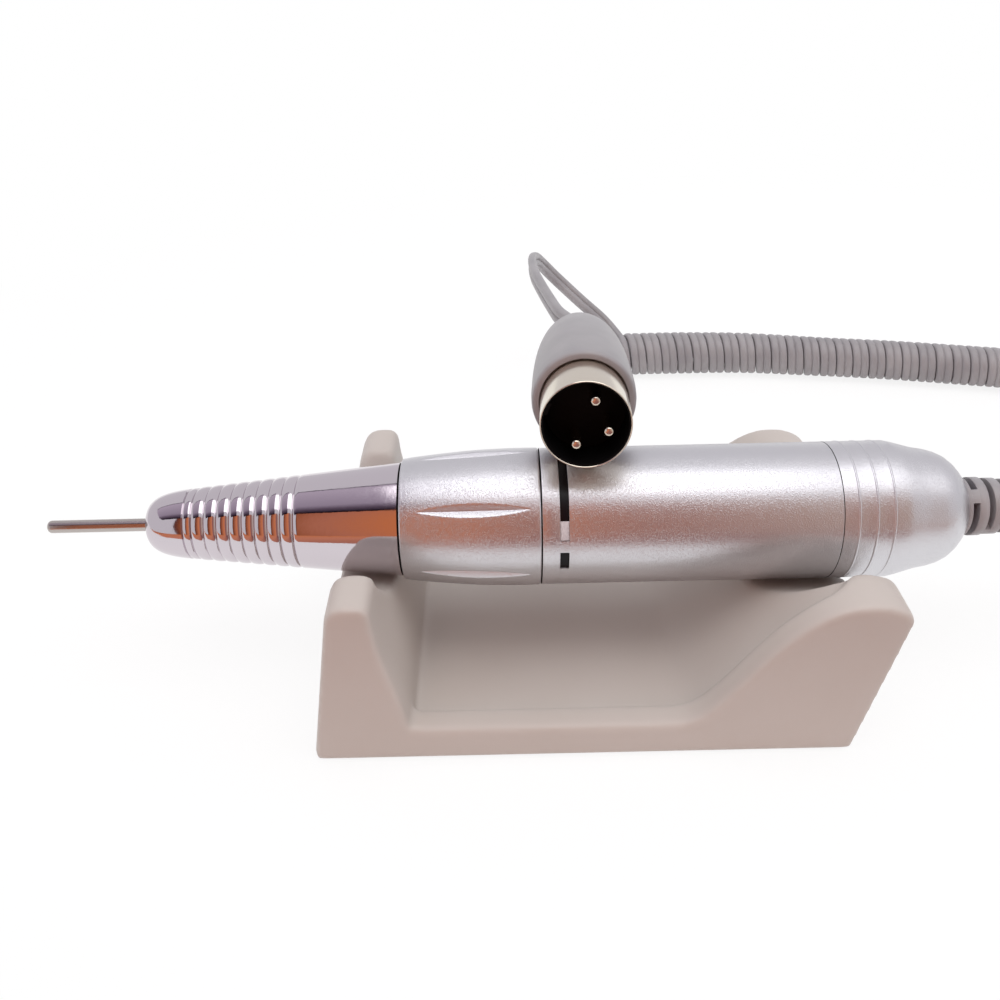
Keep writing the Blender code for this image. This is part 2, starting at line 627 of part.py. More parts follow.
def make_spindle():
    """Hollow spindle with a flange for its spring, slotted for the chuck's cross pin, and its fork."""
    mouth = COLLET_RADIUS + CLEARANCE
    bar = DRAWBAR_RADIUS + CLEARANCE
    step = COLLET_BODY_END + CLEARANCE
    flange_end = SPINDLE_FLANGE_START + SPINDLE_FLANGE_LENGTH
    outer = [
        (SPINDLE_START, SPINDLE_RADIUS),
        (SPINDLE_FLANGE_START, SPINDLE_RADIUS),
        (SPINDLE_FLANGE_START, SPINDLE_FLANGE_RADIUS),
        (flange_end, SPINDLE_FLANGE_RADIUS),
        (flange_end, SPINDLE_RADIUS),
        (SPINDLE_END, SPINDLE_RADIUS),
    ]
    bore = [(SPINDLE_START, mouth), (step, mouth), (step, bar), (SPINDLE_END, bar)]
    spindle = turned("spindle_shaft", outer, bore, STEEL, SPINDLE)
    slot_width = 2 * (CROSS_PIN_RADIUS + CLEARANCE)
    slot_length = slot_width + 2 * CHUCK_TRAVEL
    slot = box("cross_pin_slot", (slot_width, 2 * SPINDLE_RADIUS + OVERRUN, slot_length),
               (0.0, 0.0, CROSS_PIN_STATION - CHUCK_TRAVEL / 2), None, SPINDLE)
    combine(spindle, as_cutter(slot))
    fork_start = SPINDLE_END + CLEARANCE
    fork_mid = fork_start + FORK_HUB_WALL
    fork_end = fork_mid + FORK_SLOT_DEPTH
    fork = tube("drive_fork", fork_start, fork_end, FORK_RADIUS, 0.0, STEEL, SPINDLE)
    way = box("fork_slot", (DOG_BLADE_WIDTH + 2 * CLEARANCE, 2 * FORK_RADIUS + OVERRUN, FORK_SLOT_DEPTH + OVERRUN),
              (0.0, 0.0, fork_mid + (FORK_SLOT_DEPTH + OVERRUN) / 2), None, SPINDLE)
    combine(fork, as_cutter(way))
    bearing_bore = SPINDLE_RADIUS + CLEARANCE
    bearing_radius = NOSE_FRONT_BORE_RADIUS - CLEARANCE
    spacer_start = FRONT_BEARING_START + 2 * BEARING_LENGTH + 2 * CLEARANCE
    for i in range(2):
        start = FRONT_BEARING_START + i * (BEARING_LENGTH + CLEARANCE)
        tube(f"nose_bearing_{i + 1}", start, start + BEARING_LENGTH, bearing_radius, bearing_bore, STEEL,
             HANDPIECE)
    tube("bearing_spacer", spacer_start, INNER_SLEEVE_START - CLEARANCE, bearing_radius, bearing_bore, BRASS,
         HANDPIECE)
    tube("sleeve_bearing", REAR_BEARING_START, REAR_BEARING_START + BEARING_LENGTH,
         INNER_SLEEVE_RADIUS - INNER_SLEEVE_WALL - CLEARANCE, bearing_bore, STEEL, HANDPIECE)
    return fork_mid, fork_end


def helix_line(radius, start, end, curls, points_per_curl):
    """A plain helix about Z."""
    count = curls * points_per_curl
    angles = [FULL_TURN * curls * i / count for i in range(count + 1)]
    return [(radius * math.cos(a), radius * math.sin(a), start + (end - start) * i / count)
            for i, a in enumerate(angles)]


def wire(name, points, radius, resolution, material, parent, place=None):
    """A tube along these points, as a curve with a round bevel."""
    curve = bpy.data.curves.new(name, "CURVE")
    curve.dimensions = "3D"
    curve.bevel_depth = radius
    curve.bevel_resolution = resolution
    curve.use_fill_caps = True
    curve.materials.append(material)
    spline = curve.splines.new("POLY")
    spline.points.add(len(points) - 1)
    for point, place_of_point in zip(spline.points, points):
        where = Vector(place_of_point)
        if place:
            where = place @ where
        point.co = (*where, 1.0)
    return add(name, curve, None, parent)


def make_chuck():
    """Slit collet and drawbar, their cross pin and the spring that keeps the collet shut."""
    grip = SHANK_RADIUS + CLEARANCE
    outer = [(COLLET_MOUTH, COLLET_RADIUS), (COLLET_BODY_END, COLLET_RADIUS)]
    blind = BIT_DEPTH + CLEARANCE + CHUCK_TRAVEL
    bore_mesh = turned("collet_bore", [(COLLET_MOUTH - OVERRUN, grip), (blind, grip)], None, None, CHUCK,
                       FINE_SEGMENTS)
    collet = turned("collet", outer, None, STEEL, CHUCK, INNER_SEGMENTS)
    combine(collet, as_cutter(bore_mesh))
    slit_length = COLLET_SLIT_END - COLLET_MOUTH + OVERRUN
    for i in range(2):
        size = (2 * COLLET_RADIUS + OVERRUN, COLLET_SLIT, slit_length)
        slit = box(f"collet_slit_{i + 1}", size, (0.0, 0.0, COLLET_SLIT_END - slit_length / 2), None, CHUCK)
        slit.rotation_euler = (0.0, 0.0, i * RIGHT_ANGLE)
        combine(collet, as_cutter(slit))
    bar_start = COLLET_BODY_END + CLEARANCE
    drawbar = tube("drawbar", bar_start, DRAWBAR_END, DRAWBAR_RADIUS, 0.0, STEEL, CHUCK)
    hole = cross_rod("drawbar_hole", CROSS_PIN_RADIUS + CLEARANCE, DRAWBAR_RADIUS + OVERRUN,
                     (0.0, 0.0, CROSS_PIN_STATION), None, CHUCK)
    combine(drawbar, as_cutter(hole))
    cross_rod("cross_pin", CROSS_PIN_RADIUS, CROSS_PIN_REACH, (0.0, 0.0, CROSS_PIN_STATION), STEEL, CHUCK)
    spring_radius = SPINDLE_RADIUS + CLEARANCE + SPRING_WIRE_RADIUS
    spring_start = SPINDLE_FLANGE_START + SPINDLE_FLANGE_LENGTH + CLEARANCE + SPRING_WIRE_RADIUS
    spring_end = CROSS_PIN_STATION - CROSS_PIN_RADIUS - CLEARANCE - SPRING_WIRE_RADIUS
    points = helix_line(spring_radius, spring_start, spring_end, SPRING_CURLS, SPRING_POINTS_PER_CURL)
    wire("chuck_spring", points, SPRING_WIRE_RADIUS, 1, STEEL, SPINDLE)
    tip = [
        (-BIT_REACH, SHANK_RADIUS - BIT_TIP_ROUND),
        (-BIT_REACH + BIT_TIP_ROUND, SHANK_RADIUS),
        (BIT_DEPTH, SHANK_RADIUS),
    ]
    turned("bit", tip, None, STEEL, BIT, 16)


def make_release(collar_bore):
    """Inner sleeve, the cam ring in the collar and the ring that the cam drives on to the cross pin."""
    inner_radius = INNER_SLEEVE_RADIUS - INNER_SLEEVE_WALL
    sleeve_end = BODY_START - CLEARANCE
    sleeve = tube("inner_sleeve", INNER_SLEEVE_START, sleeve_end, INNER_SLEEVE_RADIUS, inner_radius, BRASS,
                  HANDPIECE)
    ring_outer = collar_bore - CLEARANCE
    ring_inner = INNER_SLEEVE_RADIUS + CLEARANCE
    cam = tube("cam_ring", CAM_RING_START, CAM_RING_START + CAM_RING_LENGTH, ring_outer, ring_inner, STEEL,
               COLLAR)
    for i in range(2):
        notch = box(f"cam_notch_{i + 1}", (CAM_NOTCH_WIDTH, 2 * collar_bore + OVERRUN, 2 * CAM_NOTCH_DEPTH),
                    (0.0, 0.0, CAM_RING_START), None, COLLAR)
        notch.rotation_euler = (0.0, 0.0, i * RIGHT_ANGLE)
        combine(cam, as_cutter(notch))
    slide_end = CAM_RING_START - CLEARANCE
    slide_start = slide_end - RELEASE_RING_LENGTH
    release = tube("release_ring", slide_start, slide_end, ring_outer, ring_inner, STEEL, RELEASE)
    pin_station = RELEASE_PIN_STATION
    hole = cross_rod("release_pin_holes", RELEASE_PIN_RADIUS + CLEARANCE, collar_bore + OVERRUN,
                     (0.0, 0.0, pin_station), None, RELEASE)
    combine(release, as_cutter(hole))
    slot_width = 2 * (RELEASE_PIN_RADIUS + CLEARANCE)
    slot = box("release_slots", (slot_width, 2 * INNER_SLEEVE_RADIUS + OVERRUN, RELEASE_SLOT_LENGTH),
               (0.0, 0.0, pin_station - RELEASE_TRAVEL / 2), None, HANDPIECE)
    combine(sleeve, as_cutter(slot))
    push_outer = inner_radius - CLEARANCE
    push_inner = SPINDLE_RADIUS + PUSH_RING_GAP
    push = tube("push_ring", PUSH_RING_START, PUSH_RING_START + PUSH_RING_LENGTH, push_outer, push_inner,
                STEEL, RELEASE)
    combine(push, hole)
    pin_inner = push_inner + CLEARANCE
    pin_reach = (ring_outer - CLEARANCE - pin_inner) / 2
    for side, name in ((-1, "release_pin_left"), (1, "release_pin_right")):
        middle = side * (pin_inner + pin_reach)
        cross_rod(name, RELEASE_PIN_RADIUS, pin_reach, (0.0, middle, pin_station), STEEL, RELEASE)


def make_motor(fork_mid):
    """Brushed motor: case and magnets outside, wound rotor and commutator inside, brushes at its rear."""
    case_start = BODY_START + OVERRUN / 4
    case_end = case_start + MOTOR_CASE_LENGTH
    case_outer = BODY_RADIUS - BODY_WALL - CLEARANCE
    case_inner = case_outer - MOTOR_CASE_WALL
    tube("motor_case", case_start, case_end, case_outer, case_inner, DARK_STEEL, HANDPIECE)
    bell_radius = case_inner - CLEARANCE
    bearing_seat = MOTOR_BEARING_RADIUS + CLEARANCE
    shaft_way = ROTOR_SHAFT_RADIUS + CLEARANCE
    front_end = case_start + END_BELL_LENGTH
    rear_start = case_end - END_BELL_LENGTH
    tube("front_end_bell", case_start, front_end, bell_radius, bearing_seat, DARK_STEEL, HANDPIECE)
    tube("brush_plate", rear_start, case_end, bell_radius, bearing_seat, BLACK_PLASTIC, HANDPIECE)
    for name, middle in (("front_motor_bearing", (case_start + front_end) / 2),
                         ("rear_motor_bearing", (rear_start + case_end) / 2)):
        tube(name, middle - MOTOR_BEARING_LENGTH / 2, middle + MOTOR_BEARING_LENGTH / 2, MOTOR_BEARING_RADIUS,
             shaft_way, STEEL, HANDPIECE)
    magnet_outer = case_inner - CLEARANCE
    magnet_inner = magnet_outer - MAGNET_SHARE * magnet_outer
    magnet_start = front_end + CLEARANCE
    for side, name in ((0, "magnet_lower"), (1, "magnet_upper")):
        arc_plate(name, magnet_inner, magnet_outer, side * math.pi, MAGNET_ANGLE, magnet_start,
                  magnet_start + MAGNET_LENGTH, FERRITE, HANDPIECE)
    core_radius = magnet_inner - CORE_AIR_GAP
    core_start = front_end + WINDING_LENGTH + 2 * CLEARANCE
    core_end = core_start + CORE_LENGTH
    core = tube("rotor_core", core_start, core_end, core_radius, shaft_way, DARK_STEEL, SPINDLE)
    for i in range(CORE_SLOTS):
        slot_depth = CORE_SLOT_DEPTH_SHARE * core_radius
        slot_width = CORE_SLOT_WIDTH_SHARE * core_radius
        slot = box(f"core_slot_{i + 1}", (2 * slot_depth, slot_width, CORE_LENGTH + OVERRUN),
                   (core_radius, 0.0, 0.0), None, SPINDLE)
        place = Matrix.Rotation(i * FULL_TURN / CORE_SLOTS, 4, "Z")
        slot.data.transform(place)
        slot.location = (0.0, 0.0, (core_start + core_end) / 2)
        combine(core, as_cutter(slot))
    winding_radius = core_radius - WINDING_INSET
    for name, start in (("front_winding", core_start - CLEARANCE - WINDING_LENGTH),
                        ("rear_winding", core_end + CLEARANCE)):
        end = start + WINDING_LENGTH
        edge = WINDING_LENGTH / 4
        outer = [(start, winding_radius - edge), (start + edge, winding_radius), (end - edge, winding_radius),
                 (end, winding_radius - edge)]
        turned(name, outer, [(start, shaft_way), (end, shaft_way)], COPPER, SPINDLE)
    commutator_start = core_end + 2 * CLEARANCE + WINDING_LENGTH
    commutator_end = commutator_start + COMMUTATOR_LENGTH
    tube("commutator", commutator_start, commutator_end, COMMUTATOR_RADIUS, shaft_way, COPPER, SPINDLE)
    blade_start = fork_mid + CLEARANCE
    hub_start = blade_start + DOG_BLADE_LENGTH
    hub_end = hub_start + DOG_HUB_LENGTH
    bore_start = hub_start + DOG_WEB
    tube("rotor_shaft", bore_start + CLEARANCE, case_end, ROTOR_SHAFT_RADIUS, 0.0, STEEL, SPINDLE)
    dog = turned("drive_dog", [(hub_start, DOG_RADIUS), (hub_end, DOG_RADIUS)], None, STEEL, SPINDLE)
    shaft_hole = tube("dog_bore", bore_start, hub_end + OVERRUN, shaft_way, 0.0, None, SPINDLE)
    combine(dog, as_cutter(shaft_hole))
    blade_reach = DOG_BLADE_LENGTH + DOG_WEB / 2
    blade = box("dog_blade", (DOG_BLADE_WIDTH, 2 * DOG_RADIUS * BLADE_SHARE, blade_reach),
                (0.0, 0.0, blade_start + blade_reach / 2), None, SPINDLE)
    combine(dog, as_cutter(blade), "UNION")
    make_brushes((commutator_start + commutator_end) / 2, bell_radius - CLEARANCE)


def make_brushes(station, bell_radius):
    """A carbon brush on each side of the commutator, in its holder, pressed in by a small spring."""
    contact = COMMUTATOR_RADIUS + CLEARANCE
    brush_length = BRUSH_LENGTH_SHARE * (bell_radius - contact)
    holder_width = BRUSH_WIDTH + 2 * (BRUSH_HOLDER_WALL + CLEARANCE)
    holder_height = BRUSH_HEIGHT + 2 * (BRUSH_HOLDER_WALL + CLEARANCE)
    holder_start = contact + brush_length / 3
    holder_length = bell_radius - holder_start
    for side, hand in ((-1, "left"), (1, "right")):
        centre = (0.0, side * (contact + brush_length / 2), station)
        box(f"carbon_brush_{hand}", (BRUSH_WIDTH, brush_length, BRUSH_HEIGHT), centre, CARBON, HANDPIECE)
        middle = (0.0, side * (holder_start + holder_length / 2), station)
        holder = box(f"brush_holder_{hand}", (holder_width, holder_length, holder_height), middle, BRASS,
                     HANDPIECE)
        way_length = holder_length + OVERRUN
        inner = (0.0, side * (bell_radius - BRUSH_HOLDER_WALL - way_length / 2), station)
        way = box(f"brush_way_{hand}", (BRUSH_WIDTH + 2 * CLEARANCE, way_length, BRUSH_HEIGHT + 2 * CLEARANCE),
                  inner, None, HANDPIECE)
        combine(holder, as_cutter(way))
        spring_radius = BRUSH_WIDTH / 2 - 2 * BRUSH_SPRING_WIRE
        spring_start = contact + brush_length + CLEARANCE + BRUSH_SPRING_WIRE
        spring_end = bell_radius - BRUSH_HOLDER_WALL - CLEARANCE - BRUSH_SPRING_WIRE
        points = helix_line(spring_radius, spring_start, spring_end, BRUSH_SPRING_CURLS, SPRING_POINTS_PER_CURL)
        turn = Matrix.Translation((0.0, 0.0, station)) @ Matrix.Rotation(-side * RIGHT_ANGLE, 4, "X")
        wire(f"brush_spring_{hand}", points, BRUSH_SPRING_WIRE, 0, STEEL, HANDPIECE, turn)


def make_clamp():
    """The block in the rear cap that grips the lead."""
    start = CAP_START + CLAMP_START
    way = LEAD_TUBE_RADIUS + CLEARANCE
    tube("cord_clamp", start, start + CLAMP_LENGTH, way + CLAMP_WALL, way, BRASS, HANDPIECE)
    return start


def cradle_outline():
    """The cradle's side outline, clockwise from its left foot, as X and Z."""
    left = NOSE_X + CRADLE_SETBACK
    top_left = left + POST_FOOT_TO_TOP
    top_right = top_left + POST_TOP_LENGTH
    ramp = (NOSE_X + CRADLE_SETBACK + RAMP_START, RIM_HEIGHT)
    hump = (NOSE_X + CRADLE_SETBACK + HUMP_STATION, HUMP_HEIGHT)
    tail = (NOSE_X + CRADLE_SETBACK + HUMP_END, HUMP_END_HEIGHT)
    points = [(left, 0.0), (top_left, POST_HEIGHT - POST_CORNER), (top_left + POST_CORNER / 3,
              POST_HEIGHT - POST_CORNER / 3), (top_left + POST_CORNER, POST_HEIGHT),
              (top_right - POST_CORNER / 2, POST_HEIGHT), (top_right, POST_HEIGHT - POST_CORNER / 2)]
    flank = (left + FLANK_FOOT, RIM_HEIGHT)
    points += bezier(points[-1], (top_right, POST_HEIGHT * 2 / 3), (flank[0], RIM_HEIGHT * 2), flank, 4)
    points.append(ramp)
    run = hump[0] - ramp[0]
    points += bezier(ramp, (ramp[0] + RAMP_HANDLE_SHARES[0] * run, ramp[1]),
                     (hump[0] - RAMP_HANDLE_SHARES[1] * run, hump[1]), hump, RAMP_STEPS)
    over = tail[0] - hump[0]
    fall = hump[1] - tail[1]
    points += bezier(hump, (hump[0] + HUMP_HANDLE_SHARES[0] * over, hump[1]),
                     (tail[0], tail[1] + HUMP_HANDLE_SHARES[1] * fall), tail, HUMP_STEPS)
    points.append((left + CRADLE_LENGTH, 0.0))
    return points


def trough_outline():
    """The trough's side outline: flat floor, then a ramp that runs out under the top of the hump."""
    left = NOSE_X + CRADLE_SETBACK
    start = left + FLANK_FOOT + CLEARANCE
    ramp = (left + RAMP_START, TROUGH_FLOOR)
    top = (left + HUMP_STATION, HUMP_HEIGHT - TROUGH_LIP)
    run = top[0] - ramp[0]
    ceiling = POST_HEIGHT + OVERRUN
    points = [(start, ceiling), (start, TROUGH_FLOOR), ramp]
    points += bezier(ramp, (ramp[0] + RAMP_HANDLE_SHARES[0] * run, ramp[1]),
                     (top[0] - RAMP_HANDLE_SHARES[0] * run, top[1]), top, RAMP_STEPS)
    points += [(top[0] + OVERRUN, top[1]), (top[0] + OVERRUN, ceiling)]
    return points


def make_cradle():
    """The moulded cradle, with its trough, saddles and the pockets under its two ends."""
    upright = Matrix.Rotation(RIGHT_ANGLE, 4, "X")
    outline = cradle_outline()
    cradle = extruded("cradle", outline, CRADLE_WIDTH, CRADLE_PLASTIC, None, upright)
    edge = cradle.modifiers.new("soft_edges", "BEVEL")
    edge.width = CRADLE_EDGE_ROUND
    edge.segments = 2
    edge.limit_method = "ANGLE"
    edge.angle_limit = math.radians(50)
    trough_width = CRADLE_WIDTH - 2 * SIDE_WALL
    side_cut = extruded("trough_side", trough_outline(), trough_width, None, None, upright)
    low_x = NOSE_X + CRADLE_SETBACK
    high_x = low_x + HUMP_STATION + OVERRUN / 4
    half = trough_width / 2
    corner = TROUGH_CORNER
    plan = [(low_x, -half), (high_x - corner, -half)]
    plan += arc_points(corner, -RIGHT_ANGLE, 0.0, TROUGH_CORNER_STEPS, (high_x - corner, corner - half))[1:]
    plan += arc_points(corner, 0.0, RIGHT_ANGLE, TROUGH_CORNER_STEPS, (high_x - corner, half - corner))
    plan += [(low_x, half)]
    plan_cut = extruded("trough_plan", plan, 4 * POST_HEIGHT, None)
    combine(side_cut, as_cutter(plan_cut), "INTERSECT")
    combine(cradle, as_cutter(side_cut))
    post_inside = CRADLE_SETBACK + POST_FOOT_TO_TOP + POST_TOP_LENGTH
    nose_at_post = cone_radius(post_inside)
    cap_radius = BODY_RADIUS + CAP_RING_RISE
    post_x = low_x + FLANK_FOOT
    saddles = (
        ("left_saddle", low_x - OVERRUN, post_x, nose_at_post),
        ("right_saddle", low_x + RAMP_START, low_x + HUMP_END + OVERRUN, cap_radius),
    )
    floors = []
    for name, start, end, radius in saddles:
        floor = AXIS_HEIGHT - radius - CLEARANCE
        floors.append(floor)
        saddle = tube(name, 0.0, end - start, SADDLE_RADIUS, 0.0, None, None, SADDLE_SEGMENTS)
        saddle.rotation_euler = ALONG_X
        saddle.location = (start, 0.0, floor + SADDLE_RADIUS)
        combine(cradle, as_cutter(saddle))
    make_pockets(cradle, floors, upright)


def make_pockets(cradle, floors, upright):
    """Hollows under the post and the hump, each parted by a rib, so that the walls stay even."""
    low_x = NOSE_X + CRADLE_SETBACK
    post = [
        (low_x + POCKET_WALL, -OVERRUN),
        (low_x + POST_FOOT_TO_TOP / 2 + POCKET_WALL, POCKET_CEILING_SHARE * floors[0]),
        (low_x + FLANK_FOOT - 2 * POCKET_WALL, POCKET_CEILING_SHARE * floors[0]),
        (low_x + FLANK_FOOT - POCKET_WALL / 2, -OVERRUN),
    ]
    hump_start = low_x + RAMP_START + 2 * POCKET_WALL
    hump_end = low_x + CRADLE_LENGTH - POCKET_WALL
    ceiling = POCKET_CEILING_SHARE * floors[1]
    hump = [
        (hump_start, -OVERRUN),
        (hump_start, TROUGH_FLOOR / 2),
        (hump_start + 3 * POCKET_WALL, TROUGH_FLOOR + POCKET_WALL),
        (hump_end - 2 * POCKET_WALL, ceiling),
        (hump_end, ceiling),
        (hump_end, -OVERRUN),
    ]
    depth = CRADLE_WIDTH / 2 - POCKET_WALL - POCKET_RIB / 2
    for name, points in (("post_pocket", post), ("hump_pocket", hump)):
        for side in (-1, 1):
            pocket = extruded(f"{name}_{(side + 3) // 2}", points, depth, None, None, upright)
            pocket.location = (0.0, side * (POCKET_RIB / 2 + depth / 2), 0.0)
            combine(cradle, as_cutter(pocket))


def section_points():
    """Half section of the twin lead: two round lobes on its outer face, flat within."""
    half = LEAD_WIDTH / 2
    high = LEAD_THICKNESS / 2
    return [(-half, 0.0), (-half / 2, high), (0.0, high - LEAD_GROOVE), (half / 2, high), (half, 0.0),
            (0.0, -high)]


def curl_line(axis_points, pitch):
    """Centres, outward directions and running directions along the curls, and how many turns they make.

    The first curl starts on the coil's far side, where the lead comes down into it, and the last one eases
    out along the cord. The curls open a little where their axis bends, so that the inner side of the bend
    keeps the gap that the straight stretch has."""
    steps = np.diff(axis_points, axis=0)
    lengths = np.concatenate([[0], np.cumsum(np.linalg.norm(steps, axis=1))])
    heading = np.unwrap(np.arctan2(steps[:, 1], steps[:, 0]))
    middles = (lengths[1:] + lengths[:-1]) / 2
    curvature = np.abs(np.gradient(heading, middles))
    window = np.ones(CURVE_WINDOW) / CURVE_WINDOW
    curvature = np.convolve(np.pad(curvature, CURVE_WINDOW // 2, mode="edge"), window, mode="valid")
    total = lengths[-1]
    radius = COIL_RADIUS - LEAD_THICKNESS / 2
    along, angle, length = 0.0, CURL_START_ANGLE, 0.0
    track = []
    while along < total:
        track.append((along, angle, length))
        bend = np.interp(along, middles, curvature[: len(middles)])
        local_pitch = pitch / (1 - bend * COIL_RADIUS)
        steep = math.atan2(FULL_TURN * radius, local_pitch)
        share = min(1.0, max(0.0, (total - along - LEAD_WIDTH) / CURL_EASE))
        steep *= share * share * (3 - 2 * share)
        along += COIL_STEP * math.cos(steep)
        angle += COIL_STEP * math.sin(steep) / radius
        length += COIL_STEP
    track.append((total, angle, length))
    track = np.array(track)
    spacing = math.hypot(FULL_TURN * radius, pitch) / CURL_POINTS
    count = round(track[-1, 2] / spacing)
    places = np.linspace(0, track[-1, 2], count + 1)
    alongs = np.interp(places, track[:, 2], track[:, 0])
    angles = np.interp(places, track[:, 2], track[:, 1])
    base = np.stack([np.interp(alongs, lengths, axis_points[:, i]) for i in range(2)], axis=1)
    headings = np.interp(alongs, middles, heading)
    side = np.stack([-np.sin(headings), np.cos(headings), np.zeros(len(base))], axis=1)
    up = np.array([0.0, 0.0, 1.0])
    outward = np.cos(angles)[:, None] * up + np.sin(angles)[:, None] * side
    centres = np.column_stack([base, np.full(len(base), COIL_RADIUS + CLEARANCE)]) + radius * outward
    return centres, outward, angles[-1] / FULL_TURN


def swept(name, centres, outward, section, material, parent):
    """A closed tube of this section along the centres, its top kept outward."""
    forward = np.gradient(centres, axis=0)
    forward /= np.linalg.norm(forward, axis=1)[:, None]
    across = np.cross(forward, outward)
    across /= np.linalg.norm(across, axis=1)[:, None]
    square = np.cross(across, forward)
    work = bmesh.new()
    rings = []
    for centre, wide, high in zip(centres, across, square):
        rings.append([work.verts.new(centre + wide * w + high * h) for w, h in section])
    sides = len(section)
    for low, high in zip(rings, rings[1:]):
        for i in range(sides):
            j = (i + 1) % sides
            work.faces.new((low[i], low[j], high[j], high[i]))
    work.faces.new(rings[0])
    work.faces.new(rings[-1])
    bmesh.ops.recalc_face_normals(work, faces=work.faces)
    mesh = bpy.data.meshes.new(name)
    work.to_mesh(mesh)
    work.free()
    edges = np.array([[c + wide * w + high * h for w, h in section]
                      for c, wide, high in zip(centres, across, square)])
    return add(name, mesh, material, parent), edges


CURVE_WINDOW = 21


def least_gap(edges):
    """Least distance between points of the sweep that lie half a curl or more apart along it."""
    best = math.inf
    skip = CURL_POINTS // 2 + 1
    for i in range(len(edges)):
        near = edges[i + skip: i + 3 * CURL_POINTS]
        if len(near):
            apart = np.linalg.norm(edges[i][:, None, None] - near[None], axis=-1)
            best = min(best, apart.min())
    return best


def make_cord():
    """The curly stretch, then the straight leads to the plug and to the handpiece."""
    axis_points = smooth_line(COIL_ROUTE, COIL_STEP * 4)
    _, _, turns = curl_line(axis_points, CURL_PITCH)
    opened = CURL_START_ANGLE / FULL_TURN
    pitch = CURL_PITCH * (turns - opened) / (math.floor(turns) - opened)
    centres, outward, turns = curl_line(axis_points, pitch)
    _, edges = swept("curly_cord", centres, outward, section_points(), CORD_GREY, HANDPIECE_FREE)
    print(f"curly cord: {turns:.2f} turns, least gap to itself {least_gap(edges) * 1000:.2f} mm")
    steps = np.linalg.norm(np.diff(centres, axis=0), axis=1)
    print(f"curly cord: {steps.sum():.3f} m of lead")
    coil_start, coil_end = Vector(centres[0]), Vector(centres[-1])
    start_way = (Vector(centres[1]) - coil_start).normalized()
    end_way = (Vector(centres[-2]) - coil_end).normalized()
    plug_exit = PLUG.matrix_world @ Vector((0.0, 0.0, PLUG_LENGTH + CLEARANCE))
    plug_way = (PLUG.matrix_world @ Vector((0.0, 0.0, PLUG_LENGTH + PLUG_LEAD_RUN))) - plug_exit
    route = [plug_exit, plug_exit + plug_way] + [Vector(p) for p in PLUG_LEAD_ROUTE]
    route += [coil_start - start_way * CLEARANCE]
    points = smooth_line(route, LEAD_POINT_STEP)
    wire("plug_lead", [tuple(p) for p in points], LEAD_TUBE_RADIUS, 2, CORD_GREY, HANDPIECE_FREE)
    plug_length = np.linalg.norm(np.diff(points, axis=0), axis=1).sum()
    clamp_x = NOSE_X + CAP_START + CLAMP_START
    boot_x = NOSE_X + BOOT_END
    route = [coil_end - end_way * CLEARANCE, coil_end - end_way * STRAIGHT_RUN]
    route += [Vector(p) for p in HANDPIECE_LEAD_ROUTE]
    route += [(boot_x, 0.0, AXIS_HEIGHT), ((boot_x + clamp_x) / 2, 0.0, AXIS_HEIGHT), (clamp_x, 0.0, AXIS_HEIGHT)]
    points = smooth_line(route, LEAD_POINT_STEP)
    wire("handpiece_lead", [tuple(p) for p in points], LEAD_TUBE_RADIUS, 2, CORD_GREY, HANDPIECE_FREE)
    hand_length = np.linalg.norm(np.diff(points, axis=0), axis=1).sum()
    print(f"leads: {plug_length:.3f} m to the plug, {hand_length:.3f} m to the handpiece")


